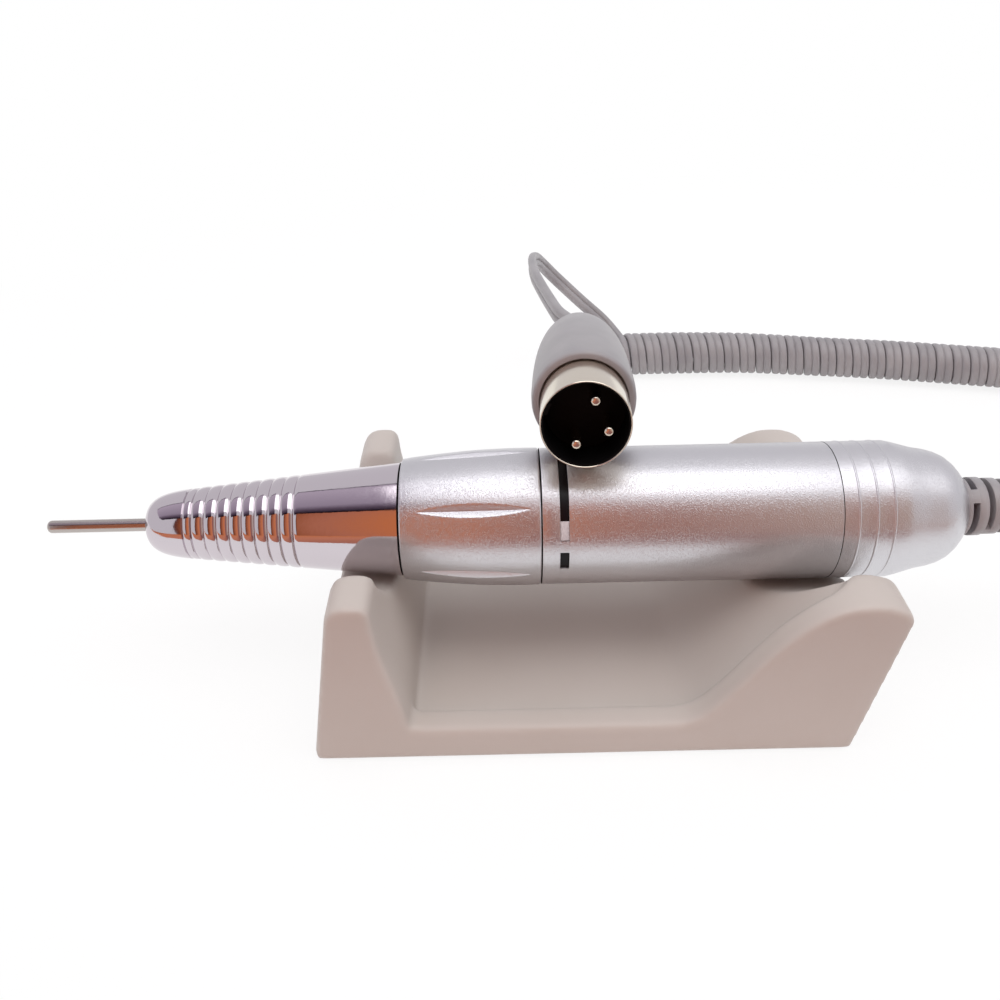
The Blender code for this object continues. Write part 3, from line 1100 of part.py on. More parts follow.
def make_plug():
    """The three-pin plug: shell with its key, insulator, pins and the bell-shaped overmould."""
    shell_end = PLUG_SHELL_REACH + PLUG_SHELL_INSERT
    shell_bore = PLUG_SHELL_RADIUS - PLUG_SHELL_WALL
    shell = tube("plug_shell", 0.0, shell_end, PLUG_SHELL_RADIUS, shell_bore, NICKEL, PLUG, PLUG_SEGMENTS)
    key_angle = PLUG_MIDDLE_PIN_ANGLE + math.pi
    key_radius = shell_bore - PLUG_KEY_DEPTH / 2 + PLUG_SHELL_WALL / 2
    key = box("plug_key", (PLUG_KEY_DEPTH + PLUG_SHELL_WALL, PLUG_KEY_WIDTH, PLUG_KEY_LENGTH),
              (key_radius, 0.0, CLEARANCE + PLUG_KEY_LENGTH / 2), None, PLUG)
    key.data.transform(Matrix.Rotation(-key_angle, 4, "Z"))
    combine(shell, as_cutter(key), "UNION")
    core_start = PLUG_CAVITY_DEPTH
    core_end = core_start + PLUG_INSULATOR_LENGTH
    core = tube("plug_insulator", core_start, core_end, shell_bore - CLEARANCE, 0.0, BLACK_PLASTIC, PLUG)
    for i in range(3):
        angle = PLUG_MIDDLE_PIN_ANGLE + (i - 1) * RIGHT_ANGLE
        centre = (PLUG_PIN_CIRCLE * math.cos(angle), -PLUG_PIN_CIRCLE * math.sin(angle), 0.0)
        low = PLUG_PIN_SETBACK
        high = core_end + PLUG_PIN_TAIL
        outline = [(low, PLUG_PIN_RADIUS / 2), (low + PLUG_PIN_RADIUS / 2, PLUG_PIN_RADIUS),
                   (high, PLUG_PIN_RADIUS)]
        pin = turned(f"plug_pin_{i + 1}", outline, None, NICKEL, PLUG, FINE_SEGMENTS)
        pin.location = centre
        hole = tube(f"plug_pin_hole_{i + 1}", -OVERRUN, high + OVERRUN, PLUG_PIN_RADIUS + CLEARANCE, 0.0, None,
                    PLUG, FINE_SEGMENTS)
        hole.location = centre
        combine(core, as_cutter(hole))
    body_start = PLUG_SHELL_REACH
    outer = [(body_start + s * PLUG_BODY_LENGTH, r * PLUG_BODY_RADIUS) for s, r in PLUG_BODY_SHARES]
    step = body_start + PLUG_STEP_DEPTH
    seat = PLUG_SHELL_RADIUS + CLEARANCE
    seat_end = shell_end + CLEARANCE
    hollow_end = core_end + PLUG_PIN_TAIL + CLEARANCE
    bore = [(body_start, PLUG_STEP_RADIUS), (step, PLUG_STEP_RADIUS), (step, seat), (seat_end, seat),
            (max(seat_end, hollow_end), PLUG_PIN_CIRCLE)]
    solid_bore = bore + [(max(seat_end, hollow_end), 0.0)]
    outline = [(0.0, outer[-1][0])] + [(r, s) for s, r in reversed(outer)] + [(r, s) for s, r in solid_bore]
    mesh = bpy.data.meshes.new("plug_overmould")
    mesh.from_pydata([(r, 0.0, s) for r, s in outline], [(i, i + 1) for i in range(len(outline) - 1)], [])
    body = add("plug_overmould", mesh, CORD_GREY, PLUG)
    screw = body.modifiers.new("turn", "SCREW")
    screw.angle = FULL_TURN
    screw.steps = PLUG_SEGMENTS
    screw.render_steps = PLUG_SEGMENTS
    screw.use_merge_vertices = True
    screw.merge_threshold = MERGE_DISTANCE
    screw.use_smooth_shade = True


PLUG_LENGTH = PLUG_SHELL_REACH + PLUG_BODY_LENGTH
STRAIGHT_RUN = 0.0042
PLUG_LEAD_RUN = 0.0016
LEAD_POINT_STEP = 0.0046
REST_DISTANCE = BODY_RADIUS + PLUG_BODY_RADIUS + CLEARANCE
PLUG_HEIGHT = AXIS_HEIGHT + REST_DISTANCE / math.cos(PLUG_TILT) + PLUG_OVERHANG * math.tan(PLUG_TILT)
PLUG = empty("plug_axis", (NOSE_X + PLUG_STATION, -PLUG_OVERHANG, PLUG_HEIGHT),
             (-RIGHT_ANGLE - PLUG_TILT, 0.0, -PLUG_YAW))
HANDPIECE_FREE = empty("cord_frame", (0.0, 0.0, 0.0))
bpy.context.view_layer.update()

make_cradle()
make_nose_cone()
collar_bore = make_collar()
make_body_shells()
make_boot()
fork_mid, fork_end = make_spindle()
make_chuck()
make_release(collar_bore)
make_motor(fork_mid)
make_clamp()
make_plug()
make_cord()
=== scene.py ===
"""The looks of the electric nail drill: handpiece, cradle, curly lead and plug, on a white table."""

import json
import math

import bmesh
import bpy
import numpy as np
from mathutils import Matrix, Vector


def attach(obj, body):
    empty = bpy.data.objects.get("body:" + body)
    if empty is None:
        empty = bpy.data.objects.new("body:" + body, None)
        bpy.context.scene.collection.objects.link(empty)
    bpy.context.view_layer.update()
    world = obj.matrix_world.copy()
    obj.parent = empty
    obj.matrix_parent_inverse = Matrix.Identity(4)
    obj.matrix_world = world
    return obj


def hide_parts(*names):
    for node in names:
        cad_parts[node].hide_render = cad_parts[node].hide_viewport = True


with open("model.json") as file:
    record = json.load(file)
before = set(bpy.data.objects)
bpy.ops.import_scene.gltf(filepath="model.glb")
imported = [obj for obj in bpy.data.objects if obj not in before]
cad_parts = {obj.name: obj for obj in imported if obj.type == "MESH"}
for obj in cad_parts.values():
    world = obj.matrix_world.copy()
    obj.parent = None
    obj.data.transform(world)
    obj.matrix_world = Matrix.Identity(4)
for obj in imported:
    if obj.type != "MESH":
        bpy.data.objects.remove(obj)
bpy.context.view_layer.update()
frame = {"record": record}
MM = 0.001

# The camera stands where the photograph was taken from, about 17 cm from the handpiece's axis and above it.
# Its place and angle were worked out from the cradle's straight edges and the handpiece's outline.
CAMERA_PLACE_MM = (-14.14, -141.0, 128.9)
CAMERA_DOWN_DEGREES = 33.68
CAMERA_TURN_DEGREES = 0.18
CAMERA_ROLL_DEGREES = -1.4
LENS_MM = 33.65


def camera_directions(down, turn, roll):
    """Right, up and forward of a camera that looks down, turned left and rolled by these angles."""
    forward = Vector((-math.sin(turn) * math.cos(down), math.cos(turn) * math.cos(down), -math.sin(down)))
    level = Vector((math.cos(turn), math.sin(turn), 0.0))
    up = level.cross(forward)
    right = math.cos(roll) * level + math.sin(roll) * up
    return right, right.cross(forward), forward


def new_object(name, data):
    """An object with this data, linked to the scene."""
    item = bpy.data.objects.new(name, data)
    bpy.context.scene.collection.objects.link(item)
    return item


right, up, forward = camera_directions(
    math.radians(CAMERA_DOWN_DEGREES), math.radians(CAMERA_TURN_DEGREES), math.radians(CAMERA_ROLL_DEGREES)
)
camera_data = bpy.data.cameras.new("photo_camera")
camera_data.lens = LENS_MM
camera_data.clip_start = 0.01
camera = new_object("photo_camera", camera_data)
camera.matrix_world = Matrix.Translation(Vector(CAMERA_PLACE_MM) * MM) @ Matrix(
    (right, up, -forward)
).transposed().to_4x4()
bpy.context.scene.camera = camera
bpy.context.scene.view_settings.view_transform = "Standard"


# The table is a white sheet, under two softboxes, a fill for matt surfaces and a pale room.
# It shows white to the eye and to polished metal, and keeps a faint shadow of what stands on it.
def linear(code):
    """A colour written as an sRGB hex value, in linear light."""
    shares = [int(code[i : i + 2], 16) / 255 for i in (1, 3, 5)]
    return [s / 12.92 if s <= 0.04045 else ((s + 0.055) / 1.055) ** 2.4 for s in shares] + [1.0]


def add(tree, kind, feeds=None, **settings):
    """A node with its settings; each of its inputs is fed by a value or by another node's output."""
    made = tree.nodes.new(kind)
    for name, value in settings.items():
        setattr(made, name, value)
    for name, value in (feeds or {}).items():
        if isinstance(value, bpy.types.NodeSocket):
            tree.links.new(value, made.inputs[name])
        else:
            made.inputs[name].default_value = value
    return made


def sheet_object(name, width, depth, matrix):
    """A flat rectangle for the stage."""
    mesh = bpy.data.meshes.new(name)
    x, y = width / 2, depth / 2
    mesh.from_pydata([(-x, -y, 0), (x, -y, 0), (x, y, 0), (-x, y, 0)], [], [(0, 1, 2, 3)])
    mesh.transform(matrix)
    item = new_object(name, mesh)
    return item


def bare_material(name):
    """A material with an empty node tree."""
    material = bpy.data.materials.new(name)
    material.use_nodes = True
    material.node_tree.nodes.clear()
    return material, material.node_tree


# Past its shadow reach, in metres from the object's middle, the table is plain white to the eye.
TABLE_SIZE = 8.0
TABLE_WHITE = "#FFFFFF"
SHADOW_SHARE = 0.14
SHADOW_REACH = (0.19, 0.22)
SHADOW_SQUEEZE = (0.75, 1.0, 1.0)
SHADOW_SHIFT = (-0.045, -0.12, 0.0)
table = sheet_object("table", TABLE_SIZE, TABLE_SIZE, Matrix.Identity(4))
paper, tree = bare_material("white_studio_paper")
seen = add(tree, "ShaderNodeLightPath")
shown = seen.outputs["Is Camera Ray"]
for ray in ("Is Glossy Ray", "Is Transmission Ray"):
    shown = add(tree, "ShaderNodeMath", {0: shown, 1: seen.outputs[ray]}, operation="MAXIMUM").outputs[0]
lit = add(tree, "ShaderNodeBsdfDiffuse", {"Color": linear(TABLE_WHITE)})
plain = add(tree, "ShaderNodeEmission", {"Color": linear(TABLE_WHITE), "Strength": 1.0})
spot = add(tree, "ShaderNodeTexCoord").outputs["Object"]
spot = add(tree, "ShaderNodeVectorMath", {0: spot, 1: SHADOW_SQUEEZE, 2: SHADOW_SHIFT},
           operation="MULTIPLY_ADD").outputs[0]
away = add(tree, "ShaderNodeVectorMath", {0: spot}, operation="LENGTH")
white = add(tree, "ShaderNodeMapRange", {"Value": away.outputs["Value"], "From Min": SHADOW_REACH[0],
                                         "From Max": SHADOW_REACH[1], "To Min": 1 - SHADOW_SHARE})
faint = add(tree, "ShaderNodeMixShader", {0: white.outputs[0], 1: lit.outputs[0], 2: plain.outputs[0]})
both = add(tree, "ShaderNodeMixShader", {0: shown, 1: lit.outputs[0], 2: faint.outputs[0]})
add(tree, "ShaderNodeOutputMaterial", {"Surface": both.outputs[0]})
table.data.materials.append(paper)

world = bpy.data.worlds.new("pale_room")
world.use_nodes = True
tree = world.node_tree
tree.nodes.clear()
room = add(tree, "ShaderNodeBackground", {"Color": linear("#F1EFF3"), "Strength": 0.85})
add(tree, "ShaderNodeOutputWorld", {"Surface": room.outputs[0]})
bpy.context.scene.world = world


def softbox(name, place, aim, width, depth, watts):
    """A soft rectangular lamp."""
    lamp = bpy.data.lights.new(name, "AREA")
    lamp.shape = "RECTANGLE"
    lamp.size = width
    lamp.size_y = depth
    lamp.energy = watts
    item = new_object(name, lamp)
    item.matrix_world = Matrix.Translation(place) @ (Vector(aim) - Vector(place)).to_track_quat(
        "-Z", "X").to_matrix().to_4x4()
    return item


def room_card(name, axis, stops, place, facing, width, depth, lights_matt=False):
    """A glowing flat piece of the room for metal to reflect, its painted light coloured along X or Y by
    these stops in metres.
    """
    turn = (Vector(facing) - Vector(place)).to_track_quat("Z", "Y").to_matrix().to_4x4()
    card = sheet_object(name, width, depth, Matrix.Translation(place) @ turn)
    material, tree = bare_material(name)
    spot = add(tree, "ShaderNodeSeparateXYZ", {0: add(tree, "ShaderNodeTexCoord").outputs["Object"]})
    first, last = stops[0][0], stops[-1][0]
    share = add(tree, "ShaderNodeMapRange", {"Value": spot.outputs[axis], "From Min": first,
                                             "From Max": last})
    tones = add(tree, "ShaderNodeValToRGB", {"Fac": share.outputs[0]})
    while len(tones.color_ramp.elements) < len(stops):
        tones.color_ramp.elements.new(0.5)
    for element, (metres, colour) in zip(tones.color_ramp.elements, stops):
        element.position = (metres - first) / (last - first)
        element.color = linear(colour)
    glow = add(tree, "ShaderNodeEmission", {"Color": tones.outputs["Color"], "Strength": 1.0})
    add(tree, "ShaderNodeOutputMaterial", {"Surface": glow.outputs[0]})
    card.data.materials.append(material)
    card.visible_camera = False
    card.visible_diffuse = lights_matt
    card.visible_shadow = False


# Each lamp has its place and aim in metres, its width, its length along the handpiece and its watts.
softbox("overhead_softbox", (0.085, -0.05, 0.80), (0.085, 0.0, 0.03), 0.56, 0.71, 1.88)
softbox("overhead_softbox_right", (0.80, -0.05, 0.80), (0.80, 0.0, 0.03), 0.56, 0.72, 0.86)
matt_fill = softbox("matt_fill", (0.14, -0.24, 0.86), (0.10, 0.0, 0.02), 0.45, 1.2, 1.6)
matt_fill.visible_glossy = False

# Metal reflects glowing cards that paint the light of a warm room, of a desk with a painted shadow line at
# its edge, and of a ceiling painted dark at its edges. The warm cards also light matt surfaces.
WARM_ROOM = (
    (-1.0, "#5A2C26"), (-0.75, "#A8603F"), (-0.6, "#C67C60"), (-0.45, "#DE8350"), (-0.3, "#DE8C64"),
    (-0.13, "#D88C6E"), (0.0, "#8E605E"), (0.16, "#98706C"), (0.3, "#BA948C"), (0.8, "#C0A494"),
)
DESK_EDGE_SHADOW = ((-1.0, "#4A1C18"), (-0.3, "#6A2C20"))
DARK_CEILING = (
    (-0.72, "#120A12"), (-0.68, "#241A26"), (-0.5, "#6A5C6C"), (-0.33, "#A89CAC"), (0.34, "#C9BECC"),
    (0.37, "#3A2C40"), (0.39, "#3A2C40"),
)
for name, place, facing, width, depth in (
    ("warm_room_front", (0.25, -1.18, 0.62), (0.25, 0.0, 0.03), 2.5, 1.42),
    ("desk_left", (-0.60, -0.86, 0.002), (-0.60, -0.86, 1.0), 0.8, 1.47),
    ("desk_right", (0.65, -0.85, 0.002), (0.65, -0.85, 1.0), 1.7, 1.50),
):
    room_card(name, "X", WARM_ROOM, place, facing, width, depth, lights_matt=True)
# A thin dark card lying on the table is a painted shadow line at the desk's edge.
room_card("desk_groove", "X", DESK_EDGE_SHADOW, (-0.66, -0.235, 0.004), (-0.66, -0.235, 1.0), 0.68, 0.022)
room_card("dark_ceiling_left", "Y", DARK_CEILING, (-0.85, -0.17, 1.0), (-0.85, -0.17, 0.0), 1.1, 1.12)


# The lead is a flat twin cord of soft grey vinyl, two stranded cores side by side in one skin.
# It leaves the plug in a loop, is wound into a long spring of curls on the table, and runs to the handpiece.
NOSE_X = -79.475
AXIS_Z = 31.25
LEAD_WIDTH_MM = 4.1
LEAD_THICKNESS_MM = 2.2
LEAD_LOBE_STEPS = 8
LEAD_SPREAD_ON_COIL = 1.11
COIL_START_SWELL_MM = 0.5
COIL_RADIUS_MM = 5.8
CURL_PITCH_MM = 4.58
CURL_EASE_MM = 7.5
CURL_START_DEGREES = 8
CURL_POINTS = 20
COIL_STEP_MM = 0.25
TABLE_GAP_MM = 0.3
PLUG_PLACE_MM = (-0.275, -8.1, 54.456)
PLUG_TILT_DEGREES = 7.5
PLUG_YAW_DEGREES = 3.3
PLUG_LENGTH_MM = 54.1
ROUTE_STEP_MM = 1.4
BOOT_END_MM = 177.1
SWELL_FADE_MM = (40.0, 85.0)
COIL_ROUTE_MM = (
    (22.0, 122.0), (40.0, 122.0), (60.0, 121.2), (82.0, 117.7), (102.5, 114.1), (122.4, 109.6),
    (140.0, 105.5), (160.0, 100.7), (180.0, 94.5), (196.5, 84.0), (207.5, 68.5), (211.5, 51.0),
    (207.0, 32.5), (194.0, 18.0), (170.0, 8.5),
)
PLUG_LEAD_ROUTE_MM = (
    (2.3, 49.5, 46.9), (0.9, 53.5, 46.6), (-0.6, 58.4, 46.2), (-2.0, 68.2, 45.4), (-3.3, 79.5, 44.3),
    (-4.4, 91.8, 43.0), (-4.6, 104.0, 41.2), (-4.0, 114.0, 39.2), (-2.8, 122.2, 36.6), (-0.6, 127.4, 33.0),
    (2.4, 129.2, 29.3), (6.0, 129.0, 25.8), (9.9, 128.4, 22.2), (14.0, 128.8, 18.2), (17.4, 128.9, 14.9),
    (20.0, 127.2, 12.3),
)
HANDPIECE_LEAD_ROUTE_MM = (
    (159.0, 6.8, 10.4), (150.0, 6.0, 10.6), (142.0, 5.0, 12.2), (134.0, 3.6, 16.0), (126.0, 2.0, 21.5),
    (118.0, 0.9, 26.5), (110.0, 0.2, 30.0),
)
plug_frame = (
    Matrix.Translation(PLUG_PLACE_MM)
    @ Matrix.Rotation(math.radians(-PLUG_YAW_DEGREES), 4, "Z")
    @ Matrix.Rotation(math.radians(-90 - PLUG_TILT_DEGREES), 4, "X")
)


def distances(points):
    """How far along a line of points each of them lies."""
    return np.concatenate([[0], np.cumsum(np.linalg.norm(np.diff(points, axis=0), axis=1))])


def evened(values, reach):
    """Values averaged with this many neighbours on each side."""
    width = 2 * reach + 1
    return np.convolve(np.pad(values, reach, mode="edge"), np.ones(width) / width, mode="valid")


def smooth_route(route, step):
    """A smooth curve through given points, with a point every step."""
    points = [np.array(p, float) for p in route]
    points = [2 * points[0] - points[1]] + points + [2 * points[-1] - points[-2]]
    fine = []
    for p, q, r, s in zip(points, points[1:], points[2:], points[3:]):
        square, cube = 2 * p - 5 * q + 4 * r - s, 3 * q - p - 3 * r + s
        for t in np.linspace(0, 1, 24, endpoint=False):
            fine.append(0.5 * (2 * q + (r - p) * t + square * t**2 + cube * t**3))
    fine = np.array(fine + [points[-2]])
    lengths = distances(fine)
    places = np.linspace(0, lengths[-1], max(2, round(lengths[-1] / step)) + 1)
    return np.stack([np.interp(places, lengths, fine[:, i]) for i in range(fine.shape[1])], axis=1)


def curls(axis, pitch):
    """Middle points and outward directions of the curls round this axis, and the angle wound at each."""
    steps = np.diff(axis, axis=0)
    lengths = distances(axis)
    heading = np.unwrap(np.arctan2(steps[:, 1], steps[:, 0]))
    middles = (lengths[1:] + lengths[:-1]) / 2
    bends = evened(np.abs(np.gradient(heading, middles)), 10)
    radius = COIL_RADIUS_MM - LEAD_THICKNESS_MM / 2
    along, angle, length = 0.0, math.radians(CURL_START_DEGREES), 0.0
    track = []
    while along < lengths[-1]:
        track.append((along, angle, length))
        local_pitch = pitch / (1 - np.interp(along, middles, bends) * COIL_RADIUS_MM)
        steep = math.atan2(2 * math.pi * radius, local_pitch)
        share = min(1.0, max(0.0, (lengths[-1] - along - LEAD_WIDTH_MM) / CURL_EASE_MM))
        steep *= share * share * (3 - 2 * share)
        along += COIL_STEP_MM * math.cos(steep)
        angle -= COIL_STEP_MM * math.sin(steep) / radius
        length += COIL_STEP_MM
    track.append((lengths[-1], angle, length))
    track = np.array(track)
    count = round(track[-1, 2] * CURL_POINTS / math.hypot(2 * math.pi * radius, pitch))
    places = np.linspace(0, track[-1, 2], count + 1)
    alongs = np.interp(places, track[:, 2], track[:, 0])
    angles = np.interp(places, track[:, 2], track[:, 1])
    base = np.stack([np.interp(alongs, lengths, axis[:, i]) for i in range(2)], axis=1)
    base = np.column_stack([base, np.full(len(base), COIL_RADIUS_MM + TABLE_GAP_MM)])
    headings = np.interp(alongs, middles, heading)
    side = np.stack([-np.sin(headings), np.cos(headings), np.zeros(len(base))], axis=1)
    outward = np.cos(angles)[:, None] * UPWARD + np.sin(angles)[:, None] * side
    return base + radius * outward, outward, angles


# The pitch is drawn out a little, so that the last curl closes after a whole number of turns.
UPWARD = np.array([0.0, 0.0, 1.0])
coil_axis = smooth_route(COIL_ROUTE_MM, 1.0)
opened = CURL_START_DEGREES / 360
turns = opened - curls(coil_axis, CURL_PITCH_MM)[2][-1] / (2 * math.pi)
coil, coil_outward, _ = curls(coil_axis, CURL_PITCH_MM * turns / (math.floor(turns - opened) + opened))
start_way = (coil[1] - coil[0]) / np.linalg.norm(coil[1] - coil[0])
end_way = (coil[-1] - coil[-2]) / np.linalg.norm(coil[-1] - coil[-2])
plug_exit = np.array(plug_frame @ Vector((0, 0, PLUG_LENGTH_MM + 0.3)))
plug_way = np.array((plug_frame @ Vector((0, 0, PLUG_LENGTH_MM + 1.6)))) - plug_exit
plug_side = smooth_route(
    [plug_exit - 2 * plug_way, plug_exit, plug_exit + plug_way, *PLUG_LEAD_ROUTE_MM,
     coil[0] - 0.3 * start_way], ROUTE_STEP_MM)
boot_end = NOSE_X + BOOT_END_MM
hand_side = smooth_route(
    [coil[-1] + 0.3 * end_way, coil[-1] + 4.2 * end_way, *HANDPIECE_LEAD_ROUTE_MM, (boot_end, 0, AXIS_Z),
     (boot_end - 21.0, 0, AXIS_Z), (boot_end - 42.0, 0, AXIS_Z)], ROUTE_STEP_MM)
lead_line = np.vstack([plug_side, coil, hand_side])
tangents = np.gradient(lead_line, axis=0)
tangents /= np.linalg.norm(tangents, axis=1)[:, None]
highs = np.zeros_like(lead_line)
first, last = len(plug_side), len(plug_side) + len(coil)
highs[first:last] = coil_outward
for order, neighbour in ((range(last, len(lead_line)), -1), (range(first - 1, -1, -1), 1)):
    for i in order:
        highs[i] = highs[i + neighbour]
        highs[i] -= tangents[i] * highs[i].dot(tangents[i])
        highs[i] /= np.linalg.norm(highs[i])
wides = np.cross(tangents, highs)
wides /= np.linalg.norm(wides, axis=1)[:, None]
highs = np.cross(wides, tangents)
spread = np.zeros(len(lead_line))
spread[first:last] = 1.0
spread = evened(spread, 12)[:, None]
swell = COIL_START_SWELL_MM * spread * np.interp(lead_line[:, 0], SWELL_FADE_MM, (1.0, 0.0))[:, None]
swollen_line = lead_line + swell * (highs + 0.5 * UPWARD)
spread = 1 + (LEAD_SPREAD_ON_COIL - 1) * spread


def twin_section(width, thickness, steps):
    """Outline of two slightly squared cores side by side, with a narrow crease between them on each face."""
    reach, rise = 0.257 * width, thickness / 2
    points = []
    for side in (1, -1):
        start = -0.87 * math.pi if side > 0 else 0.13 * math.pi
        for i in range(2 * steps):
            angle = start + 1.74 * math.pi * i / (2 * steps - 1)
            across, up = (math.copysign(abs(v) ** 0.714, v) for v in (math.cos(angle), math.sin(angle)))
            points.append((side * (width / 2 - reach) + reach * across, rise * up))
    return points


def face_outward(mesh):
    """Turns the faces of a closed mesh outward."""
    work = bmesh.new()
    work.from_mesh(mesh)
    bmesh.ops.recalc_face_normals(work, faces=work.faces)
    work.to_mesh(mesh)
    work.free()


def ring_faces(rings, sides, closed):
    """Four-sided faces between the rings of a tube, with its last ring joined to its first or not."""
    faces = []
    for i in range(rings if closed else rings - 1):
        n = (i + 1) % rings
        for j in range(sides):
            k = (j + 1) % sides
            faces.append((i * sides + j, i * sides + k, n * sides + k, n * sides + j))
    return faces


def swept_mesh(name, line, wide, high, section):
    """A closed tube with this section along the line."""
    rings, sides = len(line), len(section)
    across = np.array(section)
    points = line[:, None] + across[None, :, :1] * wide[:, None] + across[None, :, 1:] * high[:, None]
    mesh = bpy.data.meshes.new(name)
    faces = ring_faces(rings, sides, closed=False)
    faces.append(tuple(range(sides))[::-1])
    faces.append(tuple((rings - 1) * sides + j for j in range(sides)))
    mesh.from_pydata((points.reshape(-1, 3) * MM).tolist(), [], faces)
    face_outward(mesh)
    mesh.shade_smooth()
    return mesh


def show(name, mesh, material, body, *nodes):
    """A finished piece at the origin, which stands for these CAD nodes and moves with that body."""
    piece = new_object(name, mesh)
    mesh.materials.clear()
    mesh.materials.append(material)
    if nodes:
        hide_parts(*nodes)
    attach(piece, body)
    return piece


def start_material(name, colour, roughness, metallic=0.0, **sockets):
    """A material with its plain values on the shader, and its tree, shader and object coordinates."""
    material = bpy.data.materials.new(name)
    material.use_nodes = True
    tree = material.node_tree
    shader = tree.nodes["Principled BSDF"]
    shader.inputs["Base Color"].default_value = linear(colour)
    shader.inputs["Roughness"].default_value = roughness
    shader.inputs["Metallic"].default_value = metallic
    for socket, value in sockets.items():
        shader.inputs[socket.replace("_", " ")].default_value = value
    return material, tree, shader, add(tree, "ShaderNodeTexCoord").outputs["Object"]


def noise(tree, place, size_mm, detail=2.0, **more):
    """A noise texture with features of about this size."""
    feeds = {"Vector": place, "Scale": 1 / (size_mm * MM), "Detail": detail, **more}
    return add(tree, "ShaderNodeTexNoise", feeds).outputs["Fac"]


def drawn_noise(tree, place, scale, detail):
    """A noise texture drawn out differently along X, Y and Z."""
    drawn = add(tree, "ShaderNodeMapping", {"Vector": place, "Scale": scale}).outputs[0]
    return add(tree, "ShaderNodeTexNoise", {"Vector": drawn, "Scale": 1.0, "Detail": detail}).outputs["Fac"]


def tint(tree, shader, texture, dark, light, ends=(0.0, 1.0)):
    """Colours a surface from dark to light, where this texture runs between two values."""
    tones = add(tree, "ShaderNodeValToRGB", {"Fac": texture})
    for element, colour, position in zip(tones.color_ramp.elements, (dark, light), ends):
        element.color = linear(colour)
        element.position = position
    tree.links.new(tones.outputs["Color"], shader.inputs["Base Color"])


def roughen(tree, shader, texture, low, high, ends=(0.0, 1.0)):
    """Lets the roughness run from low to high, where this texture runs between two values."""
    spread = add(tree, "ShaderNodeMapRange", {"Value": texture, "From Min": ends[0], "From Max": ends[1],
                                              "To Min": low, "To Max": high})
    tree.links.new(spread.outputs[0], shader.inputs["Roughness"])


def emboss(tree, shader, texture, strength, depth_mm):
    """Gives the skin a fine relief after this texture."""
    relief = add(tree, "ShaderNodeBump", {"Height": texture, "Strength": strength,
                                          "Distance": depth_mm * MM})
    tree.links.new(relief.outputs[0], shader.inputs["Normal"])


# Extruded soft vinyl: a pale grey with a faint bloom, a satin skin and a very fine drag texture.
grey_vinyl, tree, shader, place = start_material("extruded_soft_vinyl", "#9E9C9F", 0.42, Coat_Weight=0.05)
bloom = noise(tree, place, 9, 3.0)
tint(tree, shader, bloom, "#8E8C8F", "#A09EA0", (0.3, 0.7))
roughen(tree, shader, bloom, 0.36, 0.5)
emboss(tree, shader, noise(tree, place, 0.5), 0.12, 0.03)

section = twin_section(LEAD_WIDTH_MM, LEAD_THICKNESS_MM, LEAD_LOBE_STEPS)
lead_mesh = swept_mesh("curly_twin_lead", swollen_line, wides * spread, highs, section)
lead = show("curly_twin_lead", lead_mesh, grey_vinyl, "handpiece",
            "handpiece_lead", "curly_cord", "plug_lead")


# The nose is machined brass, polished and chromed: a small mouth, an egg-shaped tip, then a row of beads
# for the fingers and a plain cone. It screws to the sleeve inside the collar.
def soften(points, reach, steps=3):
    """The same outline with each corner rounded over this distance each way."""
    soft = [points[0]]
    for before, corner, after in zip(points, points[1:], points[2:]):
        a, b, c = (np.array(p, float) for p in (before, corner, after))
        into, out = a - b, c - b
        if abs(into[0] * out[1] - into[1] * out[0]) < 0.02 * np.linalg.norm(into) * np.linalg.norm(out):
            soft.append(tuple(b))
            continue
        near = min(reach, np.linalg.norm(into) * 0.45, np.linalg.norm(out) * 0.45)
        enter, leave = b + into / np.linalg.norm(into) * near, b + out / np.linalg.norm(out) * near
        for i in range(steps + 1):
            t = i / steps
            soft.append(tuple((1 - t) ** 2 * enter + 2 * t * (1 - t) * b + t * t * leave))
    return soft + [points[-1]]


def turned_mesh(name, outline, segments=160, closed=True, place=None, bend=None):
    """An outline of (station, radius) turned about the handpiece's axis, or about the Z of a place."""
    if place is None:
        place = handpiece_place
    stations, radii = np.array(outline, float).T
    angles = np.linspace(0, 2 * math.pi, segments, endpoint=False)
    reach = np.repeat(radii[:, None], segments, axis=1)
    if bend is not None:
        reach = bend(stations[:, None], angles[None, :], reach)
    x, y = reach * np.cos(angles), reach * np.sin(angles)
    z = np.repeat(stations[:, None], segments, axis=1)
    faces = ring_faces(len(outline), segments, closed)
    mesh = bpy.data.meshes.new(name)
    mesh.from_pydata(np.stack([x, y, z], axis=2).reshape(-1, 3).tolist(), [], faces)
    work = bmesh.new()
    work.from_mesh(mesh)
    bmesh.ops.remove_doubles(work, verts=work.verts, dist=0.0005)
    bmesh.ops.holes_fill(work, edges=[e for e in work.edges if e.is_boundary], sides=0)
    bmesh.ops.recalc_face_normals(work, faces=work.faces)
    for edge in work.edges:
        if len(edge.link_faces) == 2 and edge.calc_face_angle(0) > math.radians(38):
            edge.smooth = False
    work.to_mesh(mesh)
    work.free()
    mesh.transform(Matrix.Scale(MM, 4) @ place)
    mesh.shade_smooth()
    return mesh


def show_turned(name, outline, segments, material, body, node, **how):
    """A turned piece that stands for one CAD node."""
    show(name, turned_mesh(name, outline, segments, **how), material, body, node)


